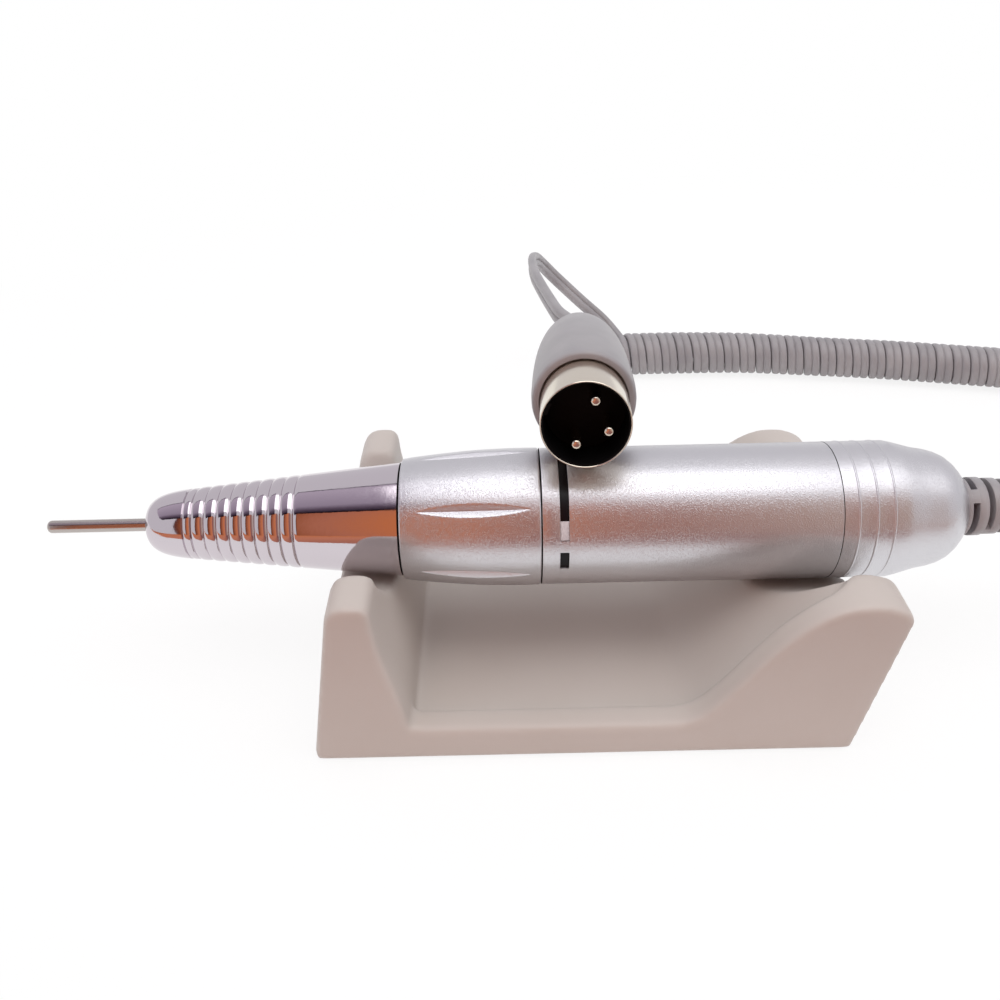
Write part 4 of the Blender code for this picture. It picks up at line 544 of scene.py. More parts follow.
handpiece_place = Matrix.Translation((NOSE_X, 0, AXIS_Z)) @ Matrix.Rotation(math.pi / 2, 4, "Y")
NOSE_LENGTH_MM = 47.1
TIP_OUTLINE_MM = ((0.62, 2.0), (0.64, 2.35), (0.74, 2.9), (0.97, 3.5), (1.33, 4.05), (1.84, 4.55),
                  (2.55, 5.02), (3.4, 5.42), (4.4, 5.74), (5.4, 5.98), (6.6, 6.2), (7.9, 6.37))
BEAD_START_MM = 10.0
BEAD_PITCH_MM = 2.315
BEADS = 8
BEAD_RISE_MM = 0.27
BEAD_SINK_MM = 0.22
GROOVE_MM = 0.3
CONE_START_MM = 7.9
CONE_RADII_MM = (6.36, 10.43)
CONE_SLOPE = (CONE_RADII_MM[1] - CONE_RADII_MM[0]) / (NOSE_LENGTH_MM - CONE_START_MM)


def cone_radius(station):
    """Radius of the plain cone in millimetres."""
    return CONE_RADII_MM[0] + (station - CONE_START_MM) * CONE_SLOPE


outline = [(0.62, 1.6)] + list(TIP_OUTLINE_MM)
outline += [(8.35, cone_radius(8.35)), (8.5, cone_radius(8.5) - 0.25)]
for share in np.linspace(0.12, 0.88, 7):
    station = 8.5 + share * 1.5
    outline.append((station, cone_radius(station) - 0.16 + 0.16 * math.sin(math.pi * share) ** 0.6))
for bead in range(BEADS):
    start = BEAD_START_MM + bead * BEAD_PITCH_MM
    outline.append((start, cone_radius(start) - GROOVE_MM))
    for share in np.linspace(0.07, 0.93, 11):
        station = start + share * BEAD_PITCH_MM
        rise = BEAD_RISE_MM * (1 - abs(2 * share - 1) ** 2.6)
        outline.append((station, cone_radius(station) - BEAD_SINK_MM + rise))
bead_end = BEAD_START_MM + BEADS * BEAD_PITCH_MM
outline += [(bead_end, cone_radius(bead_end) - GROOVE_MM), (bead_end + 0.14, cone_radius(bead_end) - 0.1),
            (bead_end + 0.34, cone_radius(bead_end) + 0.02), (bead_end + 0.9, cone_radius(bead_end + 0.9))]
outline += [(s, cone_radius(s)) for s in (32.0, 36.0, 40.0, 44.0)]
outline += [(46.95, cone_radius(46.95)), (NOSE_LENGTH_MM, cone_radius(46.95) - 0.15), (NOSE_LENGTH_MM, 7.7),
            (31.1, 7.7), (31.1, 4.2), (3.0, 4.2), (3.0, 1.6)]

# Bright chrome plate over polished brass: nearly a mirror, with the faint haze of handling.
chrome_plate, tree, shader, place = start_material("bright_chrome_plate", "#CFC7CD", 0.06, 1.0)
roughen(tree, shader, noise(tree, place, 6, 4.0), 0.035, 0.13, (0.35, 0.75))
emboss(tree, shader, noise(tree, place, 0.8), 0.25, 0.02)

show_turned("chromed_nose_cone", outline, 192, chrome_plate, "handpiece", "nose_cone")


# The bit's shank is a hardened steel rod, centreless ground to the standard size, with a round end.
SHANK_MM = 1.175
outline = [(-18.15, 0.0), (-18.13, 0.45), (-18.03, 0.78), (-17.85, 1.0), (-17.6, 1.13), (-17.3, SHANK_MM),
           (-12.0, SHANK_MM), (-6.0, SHANK_MM), (0.0, SHANK_MM), (8.0, SHANK_MM), (16.2, SHANK_MM),
           (16.5, SHANK_MM - 0.3), (16.5, 0.0)]

# Ground tool steel: bright and slightly warm, with the grinder's marks running round the rod.
ground_steel, tree, shader, place = start_material("ground_tool_steel", "#B9B2AE", 0.2, 1.0)
rings = drawn_noise(tree, place, (1 / (0.08 * MM), 1 / (3 * MM), 1 / (3 * MM)), 2.0)
roughen(tree, shader, rings, 0.14, 0.3)
emboss(tree, shader, rings, 0.1, 0.01)

show_turned("bit_shank", outline, 48, ground_steel, "bit", "bit", closed=False)


# The collar twists to open the chuck. It is aluminium, turned to a slight barrel, with six lens-shaped
# finger flutes milled along it by a wide V-edged wheel, then blasted and anodised silver.
COLLAR_START_MM = 47.4
COLLAR_LENGTH_MM = 24.5
FLUTES = 6
FLUTE_MIDDLE_MM = 60.3
FLUTE_HALF_LENGTH_MM = 9.9
FLUTE_DEPTH_MM = 0.72
FLUTE_HALF_WIDTH_MM = 1.18
FLUTE_FIRST_DEGREES = 50


def flute_cut(stations, angles, reach):
    """Lowers the collar's skin into each flute, whose sides are flat and meet in a straight line."""
    wheel = (FLUTE_HALF_LENGTH_MM**2 + FLUTE_DEPTH_MM**2) / (2 * FLUTE_DEPTH_MM)
    bottom = FLUTE_DEPTH_MM - (wheel - np.sqrt(np.maximum(wheel**2 - (stations - FLUTE_MIDDLE_MM) ** 2, 0)))
    slope = FLUTE_DEPTH_MM / FLUTE_HALF_WIDTH_MM
    step = 2 * math.pi / FLUTES
    away = (angles - math.radians(FLUTE_FIRST_DEGREES) + step / 2) % step - step / 2
    cut = np.maximum(bottom - slope * np.abs(reach * np.sin(away)), 0)
    return reach - np.where(reach > 10.6, cut, 0)


skin = [(47.45, 10.87), (47.5, 10.98), (47.62, 11.04)]
for share in np.linspace(0.008, 0.992, 110):
    station = COLLAR_START_MM + share * COLLAR_LENGTH_MM
    skin.append((station, float(np.interp(share, (0.0, 0.1, 0.26, 0.42, 0.57, 0.78, 0.93, 1.0),
                                          (11.03, 11.36, 11.77, 12.13, 12.38, 12.53, 12.55, 12.5)))))
radii = evened([r for _, r in skin], 6)
skin = [(s, float(r)) for (s, _), r in zip(skin, radii)]
outline = [(47.36, 9.4), (47.36, 10.9)] + skin[2:] + [(71.84, 12.44), (71.9, 12.36), (71.9, 9.4)]

# Anodised aluminium over a fine glass-bead blast: a soft silver with a crisp, sandy sparkle.
# The grains are drawn at a quarter of a millimetre, because the real ones are too fine to show.
satin_silver, tree, shader, place = start_material("bead_blasted_anodised_aluminium", "#D5D4D8", 0.3, 1.0)
grit = noise(tree, place, 0.24, Roughness=0.7)
steep = add(tree, "ShaderNodeMapRange", {"Value": grit, "From Min": 0.5, "From Max": 0.66})
emboss(tree, shader, steep.outputs[0], 1.0, 0.017)
roughen(tree, shader, noise(tree, place, 11), 0.27, 0.33)

show_turned("fluted_twist_collar", outline, 540, satin_silver, "collar", "lock_collar", bend=flute_cut)


# The front sleeve, body tube and rear cap are one run of the same silver aluminium, parted by hairline
# joints. The motor slides into the tube, and the cap, with its three grip rings, screws on behind it.
TUBE_RADIUS_MM = 12.45
GRIP_RINGS_MM = (2.7, 5.8, 8.8)
outline = soften([(72.1, 7.7), (72.1, TUBE_RADIUS_MM), (75.12, TUBE_RADIUS_MM), (75.12, 7.7)], 0.08)
show_turned("front_sleeve_ring", outline, 192, satin_silver, "handpiece", "front_sleeve")
outline = soften([(76.66, 11.15), (76.66, TUBE_RADIUS_MM), (123.47, TUBE_RADIUS_MM), (123.47, 11.15)], 0.05)
show_turned("motor_body_tube", outline, 192, satin_silver, "handpiece", "body_tube")
outline = [(123.6, 10.95), (123.6, TUBE_RADIUS_MM)]
for ring in GRIP_RINGS_MM:
    for step, rise in ((-0.2, 0.0), (-0.13, 0.06), (-0.05, 0.1), (0.05, 0.1), (0.13, 0.06), (0.2, 0.0)):
        outline.append((123.45 + ring + step, TUBE_RADIUS_MM + rise))
outline += [(134.3, TUBE_RADIUS_MM), (135.7, 12.14), (137.4, 11.66), (139.4, 11.1), (141.6, 10.72),
            (143.2, 10.26), (144.6, 9.6), (145.9, 8.6), (147.0, 7.4), (147.65, 6.45), (148.0, 5.9),
            (147.3, 5.9), (147.3, 6.3), (145.3, 6.3), (134.4, 10.95)]
outline = outline[:1] + soften(outline[1:21], 0.1) + outline[21:]
show_turned("grooved_rear_cap", outline, 192, satin_silver, "handpiece", "rear_cap")


# A black moulded ring lies in the joint between the sleeve and the tube. Aluminium bridges close the
# joint over it and leave windows, where the ring shows and, in one of them, its pale index mark.
BRIDGES_DEGREES = ((3.4, 13.6), (104.0, 140.0), (183.4, 193.6), (284.0, 346.5))
BRIDGE_STATIONS_MM = (75.0, 76.8)
BRIDGE_RADII_MM = (12.0, 12.447)
INDEX_MARK_DEGREES = (13.8, 29.8)
BAND_MM = (75.13, 76.65)
GAP_SHADE_RADII_MM = (7.9, 12.4)


def arc_block(name, stations, radii, degrees, bevel):
    """A block bent round the handpiece's axis between two angles, counted up from the camera's side."""
    count = max(2, round((degrees[1] - degrees[0]) / 1.5))
    corners = ((stations[0], radii[0]), (stations[1], radii[0]), (stations[1], radii[1]),
               (stations[0], radii[1]))
    work = bmesh.new()
    rows = []
    for angle in np.radians(np.linspace(degrees[0], degrees[1], count + 1)):
        rows.append([work.verts.new((NOSE_X + s, -r * math.cos(angle), AXIS_Z + r * math.sin(angle)))
                     for s, r in corners])
    for low, high in zip(rows, rows[1:]):
        for i in range(4):
            work.faces.new((low[i], low[(i + 1) % 4], high[(i + 1) % 4], high[i]))
    work.faces.new(rows[0][::-1])
    work.faces.new(rows[-1])
    bmesh.ops.recalc_face_normals(work, faces=work.faces)
    sharp = [e for e in work.edges if e.calc_face_angle(0) > math.radians(50)]
    bmesh.ops.bevel(work, geom=sharp, offset=bevel, segments=2, affect="EDGES")
    mesh = bpy.data.meshes.new(name)
    work.to_mesh(mesh)
    work.free()
    mesh.transform(Matrix.Scale(MM, 4))
    mesh.shade_smooth()
    mesh.set_sharp_from_angle(angle=math.radians(38))
    return mesh


# Black moulded nylon: a deep black with a dull moulded skin. The same black is also the painted shade on the
# faces in the handpiece's joints.
black_nylon_and_gap_shade, tree, shader, place = start_material("black_moulded_nylon_and_gap_shade", "#080708", 0.6,
                                                  Specular_IOR_Level=0.12)
mottle = noise(tree, place, 0.8, 3.0)
roughen(tree, shader, mottle, 0.55, 0.75)
emboss(tree, shader, mottle, 0.15, 0.03)

# The faces that meet in each joint are painted black, as painted shade in the gap, which draws the joint as
# a fine dark line.
for name in ("chromed_nose_cone", "fluted_twist_collar", "front_sleeve_ring", "motor_body_tube",
             "grooved_rear_cap"):
    mesh = bpy.data.objects[name].data
    mesh.materials.append(black_nylon_and_gap_shade)
    for face in mesh.polygons:
        spot = math.hypot(face.center.y, face.center.z - AXIS_Z * MM) / MM
        if abs(face.normal.x) > 0.97 and GAP_SHADE_RADII_MM[0] < spot < GAP_SHADE_RADII_MM[1]:
            face.material_index = 1

# The ring's own black is the same nylon, polished.
black_gloss, tree, shader, place = start_material("polished_black_nylon", "#0C080E", 0.3,
                                                  Specular_IOR_Level=0.22)
roughen(tree, shader, noise(tree, place, 1.2, 3.0), 0.24, 0.38)

# Pale enamel, filled into the mark and rubbed down, with a little wear.
pale_enamel, tree, shader, place = start_material("pale_enamel", "#D6D5D8", 0.35)
wear = noise(tree, place, 0.4, 3.0)
tint(tree, shader, wear, "#BAB9BF", "#E6E5E8")
emboss(tree, shader, wear, 0.1, 0.02)

outline = soften([(BAND_MM[0], 7.7), (BAND_MM[0], 12.15), (BAND_MM[1], 12.15), (BAND_MM[1], 7.7)], 0.05)
show_turned("index_ring_black", outline, 192, black_gloss, "handpiece", "index_ring")
show("index_mark", arc_block("index_mark", BAND_MM, (12.0, 12.25), INDEX_MARK_DEGREES, 0.04), pale_enamel,
     "handpiece", "index_ring")
for i, degrees in enumerate(BRIDGES_DEGREES):
    name = f"joint_bridge_{i + 1}"
    show(name, arc_block(name, BRIDGE_STATIONS_MM, BRIDGE_RADII_MM, degrees, 0.02), satin_silver,
         "handpiece", "index_ring")


# The strain relief is moulded from the lead's own vinyl. Ribs stand round a thin tapering tube, and
# each gap between them is bridged on two sides, a quarter turn on from the last, so that it bends evenly.
BOOT_START_MM = 148.0
BOOT_RADII_MM = (5.5, 3.4)
BOOT_LENGTH_MM = 29.1
SLOT_START_MM = 1.0
SLOT_WIDTH_MM = 1.15
SLOT_PITCH_MM = 2.9
SLOT_ROWS = 7
FIRST_BRIDGE_DEGREES = 216
BRIDGE_DEGREES = 28
CORE_SHARE = 0.6
boot_place = handpiece_place @ Matrix.Translation((0, 0, BOOT_START_MM))

# Shadowed vinyl inside the strain relief: the same grey, deeper and faintly violet where light is trapped.
deep_vinyl, tree, shader, place = start_material("shadowed_vinyl", "#575064", 0.55)
tint(tree, shader, noise(tree, place, 1.5, 3.0), "#342B4C", "#565064")


def boot_radius(station):
    """Radius of the strain relief at this distance from its start."""
    return BOOT_RADII_MM[0] + (BOOT_RADII_MM[1] - BOOT_RADII_MM[0]) * station / BOOT_LENGTH_MM


tail_start = SLOT_START_MM + (SLOT_ROWS - 1) * SLOT_PITCH_MM + SLOT_WIDTH_MM
lip = BOOT_LENGTH_MM - 0.9
outline = [(-3.9, 2.5), (-3.9, 6.2), (-1.4, 6.2), (-1.4, 4.2), (-0.2, 4.2), (-0.2, boot_radius(0))]
outline += [(SLOT_START_MM, boot_radius(SLOT_START_MM) * share) for share in (1, CORE_SHARE)]
outline += [(tail_start, boot_radius(tail_start) * share) for share in (CORE_SHARE, 1)]
outline += [(lip, boot_radius(lip)), (BOOT_LENGTH_MM, boot_radius(BOOT_LENGTH_MM) - 0.7),
            (BOOT_LENGTH_MM, 2.3)]
core = turned_mesh("strain_relief_core", soften(outline, 0.18), 96, place=boot_place)
show("strain_relief_core", core, grey_vinyl, "handpiece", "cord_boot")
core.materials.append(deep_vinyl)
to_boot = (Matrix.Scale(MM, 4) @ boot_place).inverted()
for face in core.polygons:
    spot = to_boot @ face.center
    if SLOT_START_MM < spot.z < tail_start and math.hypot(spot.x, spot.y) < boot_radius(spot.z) * 0.97:
        face.material_index = 1


def plain_tree(name, inputs):
    """A Geometry Nodes tree with a geometry output and these named inputs."""
    tree = bpy.data.node_groups.new(name, "GeometryNodeTree")
    tree.interface.new_socket("Geometry", in_out="OUTPUT", socket_type="NodeSocketGeometry")
    for label, kind in inputs:
        tree.interface.new_socket(label, in_out="INPUT", socket_type=kind)
    return tree, add(tree, "NodeGroupInput"), add(tree, "NodeGroupOutput")


def worked_mesh(item):
    """A mesh of its own with what the object's modifiers make of it."""
    bpy.context.view_layer.update()
    graph = bpy.context.evaluated_depsgraph_get()
    return bpy.data.meshes.new_from_object(item.evaluated_get(graph))


def grown_mesh(name, tree, values):
    """The mesh that a Geometry Nodes tree makes with these values."""
    holder = new_object(name, bpy.data.meshes.new(name))
    growth = holder.modifiers.new("growth", "NODES")
    growth.node_group = tree
    for item in tree.interface.items_tree:
        if item.in_out == "INPUT" and item.name in values:
            growth[item.identifier] = values[item.name]
    mesh = worked_mesh(holder)
    bpy.data.objects.remove(holder, do_unlink=True)
    return mesh


# One rib and one pair of bridges, for a boot of radius 1, are copied along it and sized to its taper.
rib_width = SLOT_PITCH_MM - SLOT_WIDTH_MM
outline = [(0.0, 0.58), (0.0, 1.0), (rib_width, 1.0), (rib_width, 0.58)]
rib_mesh = turned_mesh("rib", soften(outline, 0.05), 96, place=Matrix.Scale(1 / MM, 4))
rib = bpy.data.objects.new("rib", rib_mesh)
bridge_mesh = bpy.data.meshes.new("bridge")
work = bmesh.new()
half = math.radians(BRIDGE_DEGREES / 2)
for side in (0, math.pi):
    corners = []
    for z in (-0.5, 0.5):
        for r, a in ((0.56, -half), (0.995, -half), (0.998, -half / 2), (0.998, 0), (0.998, half / 2),
                     (0.995, half), (0.56, half)):
            corners.append(work.verts.new((r * math.cos(a + side), r * math.sin(a + side), z)))
    for i in range(7):
        k = (i + 1) % 7
        work.faces.new((corners[i], corners[k], corners[7 + k], corners[7 + i]))
    work.faces.new(corners[6::-1])
    work.faces.new(corners[7:])
bmesh.ops.recalc_face_normals(work, faces=work.faces)
work.to_mesh(bridge_mesh)
work.free()
bridge = bpy.data.objects.new("bridge", bridge_mesh)

tree, given, made = plain_tree("ribs_of_the_strain_relief", (
    ("Shape", "NodeSocketObject"), ("Count", "NodeSocketInt"), ("Pitch", "NodeSocketFloat"),
    ("First station", "NodeSocketFloat"), ("Start radius", "NodeSocketFloat"), ("Taper", "NodeSocketFloat"),
    ("Length share", "NodeSocketFloat"), ("First turn", "NodeSocketFloat"), ("Turn", "NodeSocketFloat"),
    ("Skin", "NodeSocketMaterial")))
start = add(tree, "ShaderNodeCombineXYZ", {"Z": given.outputs["First station"]})
step = add(tree, "ShaderNodeCombineXYZ", {"Z": given.outputs["Pitch"]})
row = add(tree, "GeometryNodeMeshLine", {"Count": given.outputs["Count"], "Start Location": start.outputs[0],
                                         "Offset": step.outputs[0]})
spot = add(tree, "ShaderNodeSeparateXYZ", {0: add(tree, "GeometryNodeInputPosition").outputs[0]})
radius = add(tree, "ShaderNodeMath", {0: spot.outputs["Z"], 1: given.outputs["Taper"],
                                      2: given.outputs["Start radius"]}, operation="MULTIPLY_ADD")
size = add(tree, "ShaderNodeCombineXYZ", {"X": radius.outputs[0], "Y": radius.outputs[0],
                                          "Z": given.outputs["Length share"]})
turned = add(tree, "ShaderNodeMath", {0: add(tree, "GeometryNodeInputIndex").outputs[0],
                                      1: given.outputs["Turn"], 2: given.outputs["First turn"]},
             operation="MULTIPLY_ADD")
facing = add(tree, "ShaderNodeCombineXYZ", {"Z": turned.outputs[0]})
shape = add(tree, "GeometryNodeObjectInfo", {"Object": given.outputs["Shape"]})
copies = add(tree, "GeometryNodeInstanceOnPoints", {
    "Points": row.outputs[0], "Instance": shape.outputs["Geometry"], "Rotation": facing.outputs[0],
    "Scale": size.outputs[0]})
solid = add(tree, "GeometryNodeRealizeInstances", {"Geometry": copies.outputs[0]})
dressed = add(tree, "GeometryNodeSetMaterial", {"Geometry": solid.outputs[0],
                                                "Material": given.outputs["Skin"]})
tree.links.new(dressed.outputs[0], made.inputs[0])

row_of = {"Pitch": SLOT_PITCH_MM, "Start radius": BOOT_RADII_MM[0], "Skin": grey_vinyl,
          "Taper": (BOOT_RADII_MM[1] - BOOT_RADII_MM[0]) / BOOT_LENGTH_MM}
ribs = grown_mesh("strain_relief_ribs", tree, {
    **row_of, "Shape": rib, "Count": SLOT_ROWS - 1, "First station": SLOT_START_MM + SLOT_WIDTH_MM,
    "Length share": 1.0, "First turn": 0.0, "Turn": 0.0})
bridges = grown_mesh("strain_relief_bridges", tree, {
    **row_of, "Shape": bridge, "Count": SLOT_ROWS, "First station": SLOT_START_MM + SLOT_WIDTH_MM / 2,
    "Length share": SLOT_WIDTH_MM * 1.3, "First turn": math.radians(FIRST_BRIDGE_DEGREES),
    "Turn": math.pi / 2})
for name, mesh in (("strain_relief_ribs", ribs), ("strain_relief_bridges", bridges)):
    mesh.transform(Matrix.Scale(MM, 4) @ boot_place)
    show(name, mesh, grey_vinyl, "handpiece", "cord_boot")


# The plug is a round three-pin one. A drawn and nickel-plated shell guards three pins in a black
# insulator, and a bell of the lead's vinyl is moulded round its back, with a shallow step at its mouth.
SHELL_RADIUS_MM = 7.6
SHELL_WALL_MM = 0.25
SHELL_LENGTH_MM = 18.9
SHELL_REACH_MM = 10.9
INSULATOR_MM = (7.5, 13.5)
OVERMOULD_RADIUS_MM = 9.2
OVERMOULD_LENGTH_MM = 43.2
MIDDLE_PIN_DEGREES = -21.3
PIN_CIRCLE_MM = 4.1
PIN_RADIUS_MM = 0.95
PIN_SETBACK_MM = 0.7
PIN_END_MM = ((0.0, 0.42), (0.03, 0.52), (0.12, 0.68), (0.28, 0.83), (0.5, 0.92), (0.8, PIN_RADIUS_MM))

# Nickel plate over drawn brass: bright, a little yellow beside chrome, with a soft drawn haze.
nickel_plate, tree, shader, place = start_material("nickel_plated_brass", "#DED5C6", 0.14, 1.0)
roughen(tree, shader, noise(tree, place, 3, 4.0), 0.1, 0.24)
emboss(tree, shader, noise(tree, place, 0.3), 0.06, 0.02)

bore = SHELL_RADIUS_MM - SHELL_WALL_MM
outline = [(0.12, bore), (0.0, bore + 0.1), (0.14, SHELL_RADIUS_MM), (SHELL_LENGTH_MM, SHELL_RADIUS_MM),
           (SHELL_LENGTH_MM, bore)]
outline = soften(outline + outline[:1], 0.08)[:-1]
show_turned("plug_shell_nickel", outline, 128, nickel_plate, "handpiece", "plug_shell", place=plug_frame)
outline = soften([(0.32, bore - 0.25), (0.2, bore + 0.05), (7.6, bore + 0.05), (7.6, bore - 0.25)], 0.02)
liner = turned_mesh("plug_shell_liner", outline, 128, place=plug_frame)
key_turn = Matrix.Rotation(-math.radians(MIDDLE_PIN_DEGREES) - math.pi, 4, "Z")
key_place = Matrix.Translation((bore - 0.4, 0, 4.0)) @ Matrix.Diagonal((1.0, 2.4, 6.0, 1))
work = bmesh.new()
work.from_mesh(liner)
block = bmesh.ops.create_cube(work, size=1.0, matrix=Matrix.Scale(MM, 4) @ plug_frame @ key_turn @ key_place)
edges = list({e for v in block["verts"] for e in v.link_edges})
bmesh.ops.bevel(work, geom=edges, offset=0.15 * MM, segments=2, affect="EDGES")
work.to_mesh(liner)
work.free()
show("plug_shell_liner", liner, black_nylon_and_gap_shade, "handpiece", "plug_shell")
outline = soften([(INSULATOR_MM[0], 0.0), (INSULATOR_MM[0], bore - 0.3), (INSULATOR_MM[1], bore - 0.3),
                  (INSULATOR_MM[1], 0.0)], 0.15)
show_turned("plug_insulator_black", outline, 96, black_nylon_and_gap_shade, "handpiece", "plug_insulator",
            closed=False, place=plug_frame)
outline = [(PIN_SETBACK_MM, 0.0)] + [(PIN_SETBACK_MM + station, radius) for station, radius in PIN_END_MM]
outline += [(8.6, PIN_RADIUS_MM), (16.5, PIN_RADIUS_MM), (16.5, 0.0)]
for i in range(3):
    angle = math.radians(MIDDLE_PIN_DEGREES + (i - 1) * 90)
    spot = Matrix.Translation((PIN_CIRCLE_MM * math.cos(angle), -PIN_CIRCLE_MM * math.sin(angle), 0.0))
    show_turned(f"plug_pin_rounded_{i + 1}", outline, 48, nickel_plate, "handpiece", f"plug_pin_{i + 1}",
                closed=False, place=plug_frame @ spot)
start = SHELL_REACH_MM
outline = [(start + 0.9, SHELL_RADIUS_MM + 0.02), (start + 0.9, 7.76), (start + 0.1, 7.78), (start, 7.9),
           (start, 8.5), (start + 0.08, 8.72), (start + 0.25, 8.9), (start + 0.55, 9.03),
           (start + 1.3, 9.12)]
for share in np.concatenate([np.linspace(0.08, 0.9, 22), np.linspace(0.92, 0.992, 9)]):
    outline.append((start + share * OVERMOULD_LENGTH_MM, OVERMOULD_RADIUS_MM * (1 - share**3) ** 0.46))
end = start + OVERMOULD_LENGTH_MM
outline += [(end - 0.1, 2.9), (end, 2.5), (end, 0.0), (19.4, 0.0), (19.4, SHELL_RADIUS_MM + 0.02)]
show_turned("plug_overmould_bell", outline, 160, grey_vinyl, "handpiece", "plug_overmould", place=plug_frame)


# The cradle is one moulding of grey ABS: a tall post for the nose at one end, a low hump for the cap at
# the other, a trough between them and a round saddle through both. Its edges are softly rounded.
CRADLE_SETBACK_MM = 31.2
CRADLE_LENGTH_MM = 94.5
CRADLE_WIDTH_MM = 58.7
POST_HEIGHT_MM = 34.2
POST_BACK_MM = 12.8
FLANK_FOOT_MM = 17.1
RIM_MM = 7.0
RAMP_START_MM = 63.9
HUMP_MM = (92.3, 32.3)
HUMP_END_MM = (99.6, 29.0)
SIDE_WALL_MM = 5.7
TROUGH_FLOOR_MM = 3.5
TROUGH_LIP_MM = 2.2
TROUGH_CORNER_MM = 8
TROUGH_TOP_MM = 40.0
SADDLE_RADIUS_MM = 21.0
SADDLE_GAP_MM = 0.3
CAP_RING_RISE_MM = 0.22


def bowed(a, b, c, d, steps):
    """Points of a curved run from a to d, pulled towards b and c."""
    a, b, c, d = (np.array(p, float) for p in (a, b, c, d))
    return [tuple((1 - t) ** 3 * a + 3 * (1 - t) ** 2 * t * b + 3 * (1 - t) * t * t * c + t**3 * d)
            for t in (i / steps for i in range(1, steps + 1))]


def slab(name, side_outline, width):
    """A block with this side outline, given as X and Z, and this width across."""
    mesh = bpy.data.meshes.new(name)
    n = len(side_outline)
    points = [(x, y, z) for y in (-width / 2, width / 2) for x, z in side_outline]
    faces = [tuple(range(n)), tuple(range(2 * n - 1, n - 1, -1))]
    faces += [(i, i + n, (i + 1) % n + n, (i + 1) % n) for i in range(n)]
    mesh.from_pydata(points, [], faces)
    face_outward(mesh)
    return new_object(name, mesh)


def cut_with(piece, cutter, how="DIFFERENCE"):
    """Cuts one block with another, and does away with the cutter."""
    cut = piece.modifiers.new("cut", "BOOLEAN")
    cut.operation = how
    cut.solver = "EXACT"
    cut.object = cutter
    mesh = worked_mesh(piece)
    piece.modifiers.clear()
    piece.data = mesh
    bpy.data.objects.remove(cutter, do_unlink=True)


left = NOSE_X + CRADLE_SETBACK_MM
post_back = left + POST_BACK_MM
post = [(left, 0.0), (left + 5.4, POST_HEIGHT_MM - 2.4), (left + 6.2, POST_HEIGHT_MM - 0.8),
        (left + 7.8, POST_HEIGHT_MM), (left + 11.6, POST_HEIGHT_MM), (post_back, POST_HEIGHT_MM - 1.2)]
flank = (left + FLANK_FOOT_MM, RIM_MM)
outline = post + bowed(post[-1], (post_back, POST_HEIGHT_MM * 2 / 3), (flank[0], RIM_MM * 2), flank, 12)
ramp = (left + RAMP_START_MM, RIM_MM)
hump = (left + HUMP_MM[0], HUMP_MM[1])
tail = (left + HUMP_END_MM[0], HUMP_END_MM[1])
foot = (left + CRADLE_LENGTH_MM, 0.0)
run, over, fall = hump[0] - ramp[0], tail[0] - hump[0], hump[1] - tail[1]
outline += [ramp] + bowed(ramp, (ramp[0] + 0.27 * run, ramp[1]), (hump[0] - 0.5 * run, hump[1]), hump, 40)
outline += bowed(hump, (hump[0] + 0.55 * over, hump[1]), (tail[0], tail[1] + 0.42 * fall), tail, 16)
cradle = slab("cradle_moulding", outline + [foot], CRADLE_WIDTH_MM)

# The trough's side outline is cut to the plan of its floor, whose two corners by the hump are round.
start = left + FLANK_FOOT_MM + SADDLE_GAP_MM
top = (left + HUMP_MM[0], HUMP_MM[1] - TROUGH_LIP_MM)
run = top[0] - ramp[0]
trough = [(start, TROUGH_TOP_MM), (start, TROUGH_FLOOR_MM), (ramp[0], TROUGH_FLOOR_MM)]
trough += bowed(trough[-1], (ramp[0] + 0.27 * run, TROUGH_FLOOR_MM), (top[0] - 0.27 * run, top[1]), top, 40)
trough += [(top[0] + 1.0, top[1]), (top[0] + 1.0, TROUGH_TOP_MM)]
inside = slab("trough", trough, CRADLE_WIDTH_MM - 2 * SIDE_WALL_MM)
half = CRADLE_WIDTH_MM / 2 - SIDE_WALL_MM
corner = TROUGH_CORNER_MM
reach = left + HUMP_MM[0] + 0.25 - corner
quarter = np.linspace(0, math.pi / 2, 17)
plan = [(left, -half), (reach, -half)]
plan += [(reach + corner * math.sin(a), -half + corner - corner * math.cos(a)) for a in quarter[1:]]
plan += [(reach + corner * math.cos(a), half - corner + corner * math.sin(a)) for a in quarter]
plan += [(left, half)]
footprint = slab("footprint", plan, 160.0)
footprint.data.transform(Matrix.Rotation(math.pi / 2, 4, "X"))
face_outward(footprint.data)
cut_with(inside, footprint, "INTERSECT")
cut_with(cradle, inside)
nose_floor = AXIS_Z - cone_radius(CRADLE_SETBACK_MM + POST_BACK_MM) - SADDLE_GAP_MM
cap_floor = AXIS_Z - TUBE_RADIUS_MM - CAP_RING_RISE_MM - SADDLE_GAP_MM
for start, end, floor in ((left - 1, left + FLANK_FOOT_MM, nose_floor),
                          (left + RAMP_START_MM, left + HUMP_END_MM[0] + 1, cap_floor)):
    circle = [(floor + SADDLE_RADIUS_MM + SADDLE_RADIUS_MM * math.cos(a), SADDLE_RADIUS_MM * math.sin(a))
              for a in np.linspace(0, 2 * math.pi, 160)[:-1]]
    round_cut = slab("saddle", circle, end - start)
    middle = (start + end) / 2
    round_cut.data.transform(Matrix(((0, 1, 0, middle), (0, 0, 1, 0), (1, 0, 0, 0), (0, 0, 0, 1))))
    face_outward(round_cut.data)
    cut_with(cradle, round_cut)

